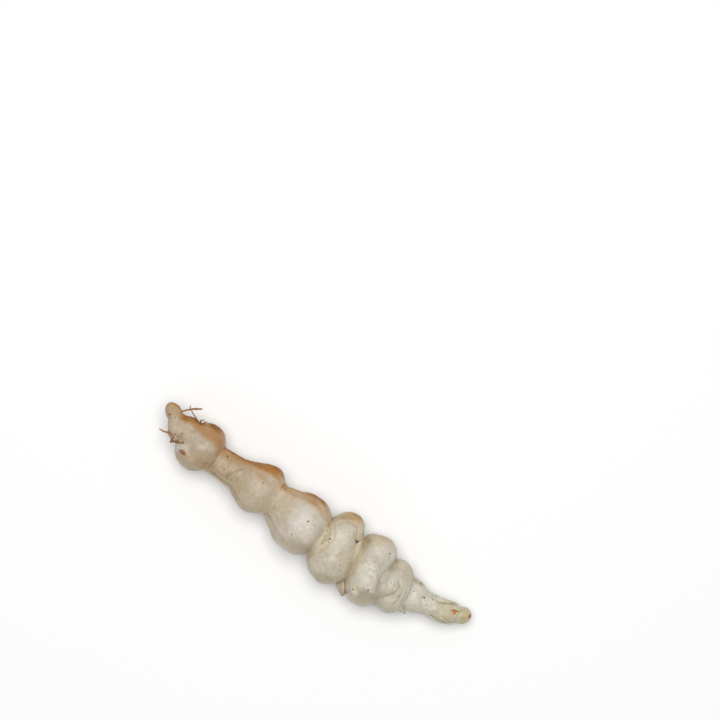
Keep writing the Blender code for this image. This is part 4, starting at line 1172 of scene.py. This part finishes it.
# ---------------------------------------------------------------- scale leaves
def make_leaf(name, base, tip, side, half_base, half_tip, mat, replaced, seed,
              hug=0.0, off=0.4, lift=0.0, arch=0.25, ribs=3, ragged=0.10, teeth=0.0, tuck=0.0,
              thick=0.9, fade=0.5, end=(214, 204, 180), dark=(160, 126, 86),
              rib_tone=(238, 230, 206), rise=0.22, steps=44, across=41):
    """Thin papery scale that grows out of the skin and ends in a ragged tip."""
    base, tip, side = (np.array(v, float) for v in (base, tip, side))
    ahead = tip - base
    length = np.linalg.norm(ahead)
    ahead /= length
    side = side - ahead * (side @ ahead)
    side /= np.linalg.norm(side)
    up = np.cross(side, ahead)
    if up[2] < 0:
        up = -up
    t = np.linspace(0, 1, steps)
    s = np.linspace(-1, 1, across)
    T, S = np.meshgrid(t, s, indexing="ij")
    edge_pts = np.stack([S.ravel() * half_base * 1.3, np.full(S.size, seed * 3.0), np.zeros(S.size)], 1)
    cut = 1 - ragged * (0.5 + 0.5 * noise(edge_pts, 2.4, seed) + 0.5 * noise(edge_pts, 0.9, seed + 1)).reshape(S.shape)
    comb = 0.5 + 0.5 * np.cos(S * math.pi * 3.4 + seed + 0.8 * np.sin(S * 3.0 + seed))
    cut = cut - teeth * (1 - comb ** 2)
    cut = np.clip(cut, 0.35, 1.08)
    run = T * cut
    width = half_base * (0.80 + 0.20 * smooth(0.0, 0.3, T)) + (half_tip - half_base) * T
    width = width * np.sqrt(np.clip(1 - (np.clip(T - 0.62, 0, 1) / 0.44) ** 2.2, 0.03, 1))
    rough_edge = 1 + 0.07 * noise(np.stack([T.ravel() * length, S.ravel() * 2, np.zeros(S.size)], 1), 1.6, seed + 2).reshape(S.shape)
    P = (base + ahead * (run * length)[..., None]
         + side * (S * width * rough_edge)[..., None]
         + up * (half_base * arch * (1 - S ** 2))[..., None]
         + up * (lift * T ** 2)[..., None])
    ridge = np.zeros(S.shape)
    for k in range(ribs):
        at = 0.0 if ribs == 1 else -0.6 + 1.2 * k / (ribs - 1)
        ridge += np.exp(-((S - at + 0.08 * np.sin(T * 5 + k)) / 0.10) ** 2) * (1 - 0.4 * T)
    ridge *= smooth(0.10, 0.50, T)
    P = P + up * (ridge * 0.22)[..., None]
    P = P + up * (0.35 * noise(P.reshape(-1, 3), 3.4, seed + 3).reshape(S.shape) * T)[..., None]
    flat = P.reshape(-1, 3)
    grown = smooth(0.0, rise, T)
    want = (off + 0.18 * ridge + lift * T ** 2 + 0.2 * (1 + noise(flat, 2.6, seed + 4).reshape(S.shape)))
    want = want * grown - 1.3 * (1 - grown) - tuck * smooth(0.55, 1.0, np.abs(S)) * (1 - 0.7 * T)
    want = want.ravel()
    hold = np.maximum(hug, 1 - smooth(0.05, 0.40, T)).ravel()
    hold = np.maximum(hold, (min(tuck, 1.0) * smooth(0.5, 0.9, np.abs(S))).ravel())
    for _ in range(5):
        d = tuber_distance(flat)
        n = tuber_normal(flat)
        move = np.where(d < want, want - d, (want - d) * hold)
        flat = flat + n * move[:, None]
    P = flat.reshape(P.shape)
    # two faces and a rim
    du = np.gradient(P, axis=0)
    dv = np.gradient(P, axis=1)
    nrm = np.cross(du, dv)
    nrm /= np.maximum(np.linalg.norm(nrm, axis=2, keepdims=True), 1e-9)
    thin = thick * (0.35 + 0.65 * (1 - S ** 2)) * (1 - 0.55 * T)
    A = P + nrm * thin[..., None] * 0.5
    B = P - nrm * thin[..., None] * 0.5
    verts = np.concatenate([A.reshape(-1, 3), B.reshape(-1, 3)])
    idx = np.arange(steps * across).reshape(steps, across)
    jdx = idx + steps * across
    faces = []
    for r in range(steps - 1):
        for c in range(across - 1):
            faces.append([idx[r, c], idx[r + 1, c], idx[r + 1, c + 1], idx[r, c + 1]])
            faces.append([jdx[r, c], jdx[r, c + 1], jdx[r + 1, c + 1], jdx[r + 1, c]])
    loop = ([(r, 0) for r in range(steps)] + [(steps - 1, c) for c in range(1, across)]
            + [(r, across - 1) for r in range(steps - 2, -1, -1)]
            + [(0, c) for c in range(across - 2, 0, -1)])
    for k in range(len(loop)):
        a, b = loop[k], loop[(k + 1) % len(loop)]
        faces.append([idx[a], jdx[a], jdx[b], idx[b]])
    faces = [[int(i) for i in f] for f in faces]
    skin = blend_stops(axis_place(flat), SKIN_STOPS).reshape(steps, across, 3)
    tone = mix(skin, srgb(*end)[None, None], smooth(0.05, fade, T)[..., None])
    tone = mix(tone, srgb(*rib_tone)[None, None], (0.75 * np.clip(ridge, 0, 1))[..., None])
    worn = smooth(0.80, 1.0, T) * 0.45 + smooth(0.86, 1.0, np.abs(S)) * 0.30
    worn = worn * (0.7 + 0.6 * noise(flat, 2.2, seed + 6).reshape(S.shape))
    tone = mix(tone, srgb(*dark)[None, None], np.clip(worn, 0, 0.8)[..., None])
    tone = tone * (1 + 0.10 * noise(flat, 1.8, seed + 7).reshape(S.shape))[..., None]
    for x, y, r, strength in DOTS:
        away = np.hypot(P[..., 0] - x, P[..., 1] - y) / (1.15 * r)
        mark = strength * (1 - smooth(0.55, 1.25, away)) * (T > 0.12) * smooth(0.45, 0.65, np.abs(nrm[..., 2]))
        tone = mix(tone, srgb(84, 58, 36)[None, None], mark[..., None])
    cols = np.clip(tone.reshape(-1, 3), 0, 1)
    mesh = make_mesh(name, to_world(verts), faces)
    colour_attribute(mesh, "leaf_tone", np.concatenate([cols, cols]))
    return add_object(name, mesh, mat, replaced)


def make_leaves(mat):
    make_leaf("scale_lower", (345.0, 569.0, 28), (342.2, 595.8, 23.0), (0.92, -0.40, 0.1), 15.0, 3.4,
              mat, ("scale_leaf_lower",), 2.0, off=0.35, arch=0.40, lift=-1.0, ribs=3, ragged=0.06, thick=1.1,
              fade=0.3, end=(172, 157, 132), dark=(142, 124, 96), rib_tone=(206, 194, 170))
    make_leaf("scale_small", (398.8, 604.6, 32), (404.2, 615.8, 26.0), (0.86, -0.48, -0.15), 4.8, 1.6,
              mat, ("scale_leaf_small",), 5.0, hug=0.10, off=0.45, arch=0.16, ribs=3, ragged=0.12, rise=0.35,
              tuck=0.3, lift=0.6, thick=0.7, end=(184, 176, 158), dark=(150, 134, 108), rib_tone=(204, 198, 180))
    make_leaf("scale_upper", (410.6, 572.6, 35), (423.4, 585.8, 28.5), (0.35, -0.5, -0.79), 3.8, 1.1,
              mat, ("scale_leaf_upper",), 7.0, hug=0.90, off=0.20, arch=0.05, ribs=3, ragged=0.12, tuck=0.5,
              thick=0.6, end=(184, 174, 152), dark=(140, 112, 76), rib_tone=(198, 190, 170))
    make_leaf("scale_tip", (419.0, 602.4, 37), (439.2, 605.4, 33.5), (-0.33, 0.94, 0), 9.2, 8.0,
              mat, ("scale_leaf_tip",), 9.0, hug=1.0, off=0.05, arch=0.0, ribs=3, ragged=0.10, tuck=0.9,
              thick=0.45, end=(208, 203, 183), dark=(196, 188, 162), rib_tone=(213, 208, 190))
    make_leaf("bud_fringe_upper", (434.5, 598.8, 28), (460.0, 603.6, 25.5), (0.1, -0.55, -0.83), 4.0, 1.8,
              mat, ("bud_scale_upper",), 12.0, hug=0.85, off=0.3, arch=0.05, ribs=3, ragged=0.10, teeth=0.28,
              tuck=0.3, lift=0.4, thick=0.6, end=(204, 198, 172), dark=(172, 154, 116), rib_tone=(222, 217, 196))
    make_leaf("bud_fringe_lower", (422.5, 613.4, 27), (452.4, 627.0, 21.5), (-0.2, 0.55, -0.81), 4.2, 1.8,
              mat, ("bud_scale_lower",), 15.0, hug=0.85, off=0.3, arch=0.05, ribs=3, ragged=0.10, teeth=0.26,
              tuck=0.5, lift=0.3, thick=0.6, end=(206, 200, 178), dark=(178, 160, 124), rib_tone=(224, 219, 200))


# ------------------------------------------------------------ stage and camera
def stage_and_light():
    turns = np.arange(128) * 2 * math.pi / 128
    verts = [(-0.055 + 0.55 * math.cos(t), 0.085 + 0.55 * math.sin(t), 0.0) for t in turns]
    mesh = bpy.data.meshes.new("table_top")
    mesh.from_pydata(verts, [], [list(range(128))])
    floor = bpy.data.objects.new("table_top", mesh)
    bpy.context.scene.collection.objects.link(floor)
    mat, nt, bsdf = new_material("table_paint")
    bsdf.inputs["Base Color"].default_value = (0.925, 0.925, 0.925, 1)
    bsdf.inputs["Roughness"].default_value = 0.9
    bsdf.inputs["Specular IOR Level"].default_value = 0.1
    mesh.materials.append(mat)

    world = bpy.data.worlds.new("studio")
    bpy.context.scene.world = world
    world.use_nodes = True
    bg = world.node_tree.nodes["Background"]
    bg.inputs["Color"].default_value = (1.0, 1.0, 1.0, 1)
    bg.inputs["Strength"].default_value = 0.38
    seen = world.node_tree.nodes.new("ShaderNodeBackground")
    seen.inputs["Color"].default_value = (1.0, 1.0, 1.0, 1)
    seen.inputs["Strength"].default_value = 0.58
    path = world.node_tree.nodes.new("ShaderNodeLightPath")
    pick = world.node_tree.nodes.new("ShaderNodeMixShader")
    world.node_tree.links.new(path.outputs["Is Camera Ray"], pick.inputs[0])
    world.node_tree.links.new(bg.outputs[0], pick.inputs[1])
    world.node_tree.links.new(seen.outputs[0], pick.inputs[2])
    world.node_tree.links.new(pick.outputs[0], world.node_tree.nodes["World Output"].inputs["Surface"])

    light = bpy.data.lights.new("soft_top", "AREA")
    light.shape = "DISK"
    light.size = 0.50
    light.energy = 3.3
    lamp = bpy.data.objects.new("soft_top", light)
    bpy.context.scene.collection.objects.link(lamp)
    place = Vector((-0.055, 0.085, 0.63))
    lamp.location = place
    lamp.rotation_euler = (Vector((0, 0, 0.005)) - place).to_track_quat("-Z", "Y").to_euler()

    cam_data = bpy.data.cameras.new("camera")
    cam = bpy.data.objects.new("camera", cam_data)
    bpy.context.scene.collection.objects.link(cam)
    cam_data.sensor_width = 36.0
    height, focus = 0.62, 0.006        # the frame fits at this height over the table
    cam_data.lens = 36.0 * (height - focus) / (720 * PLAN_UNIT)
    middle = to_world(np.array([[360.0, 360.0, 0.0]]))[0]
    up = to_world(np.array([[360.0, 359.0, 0.0]]))[0] - middle
    cam.location = (middle[0], middle[1], height)
    cam.rotation_euler = (0.0, 0.0, math.atan2(-up[0], up[1]))
    cam_data.clip_start, cam_data.clip_end = 0.01, 10.0
    bpy.context.scene.camera = cam
    bpy.context.scene.view_settings.view_transform = "Standard"
    bpy.context.scene.view_settings.look = "None"


def main():
    make_tuber()
    make_rootlets(root_material())
    make_leaves(leaf_material())
    stage_and_light()


main()
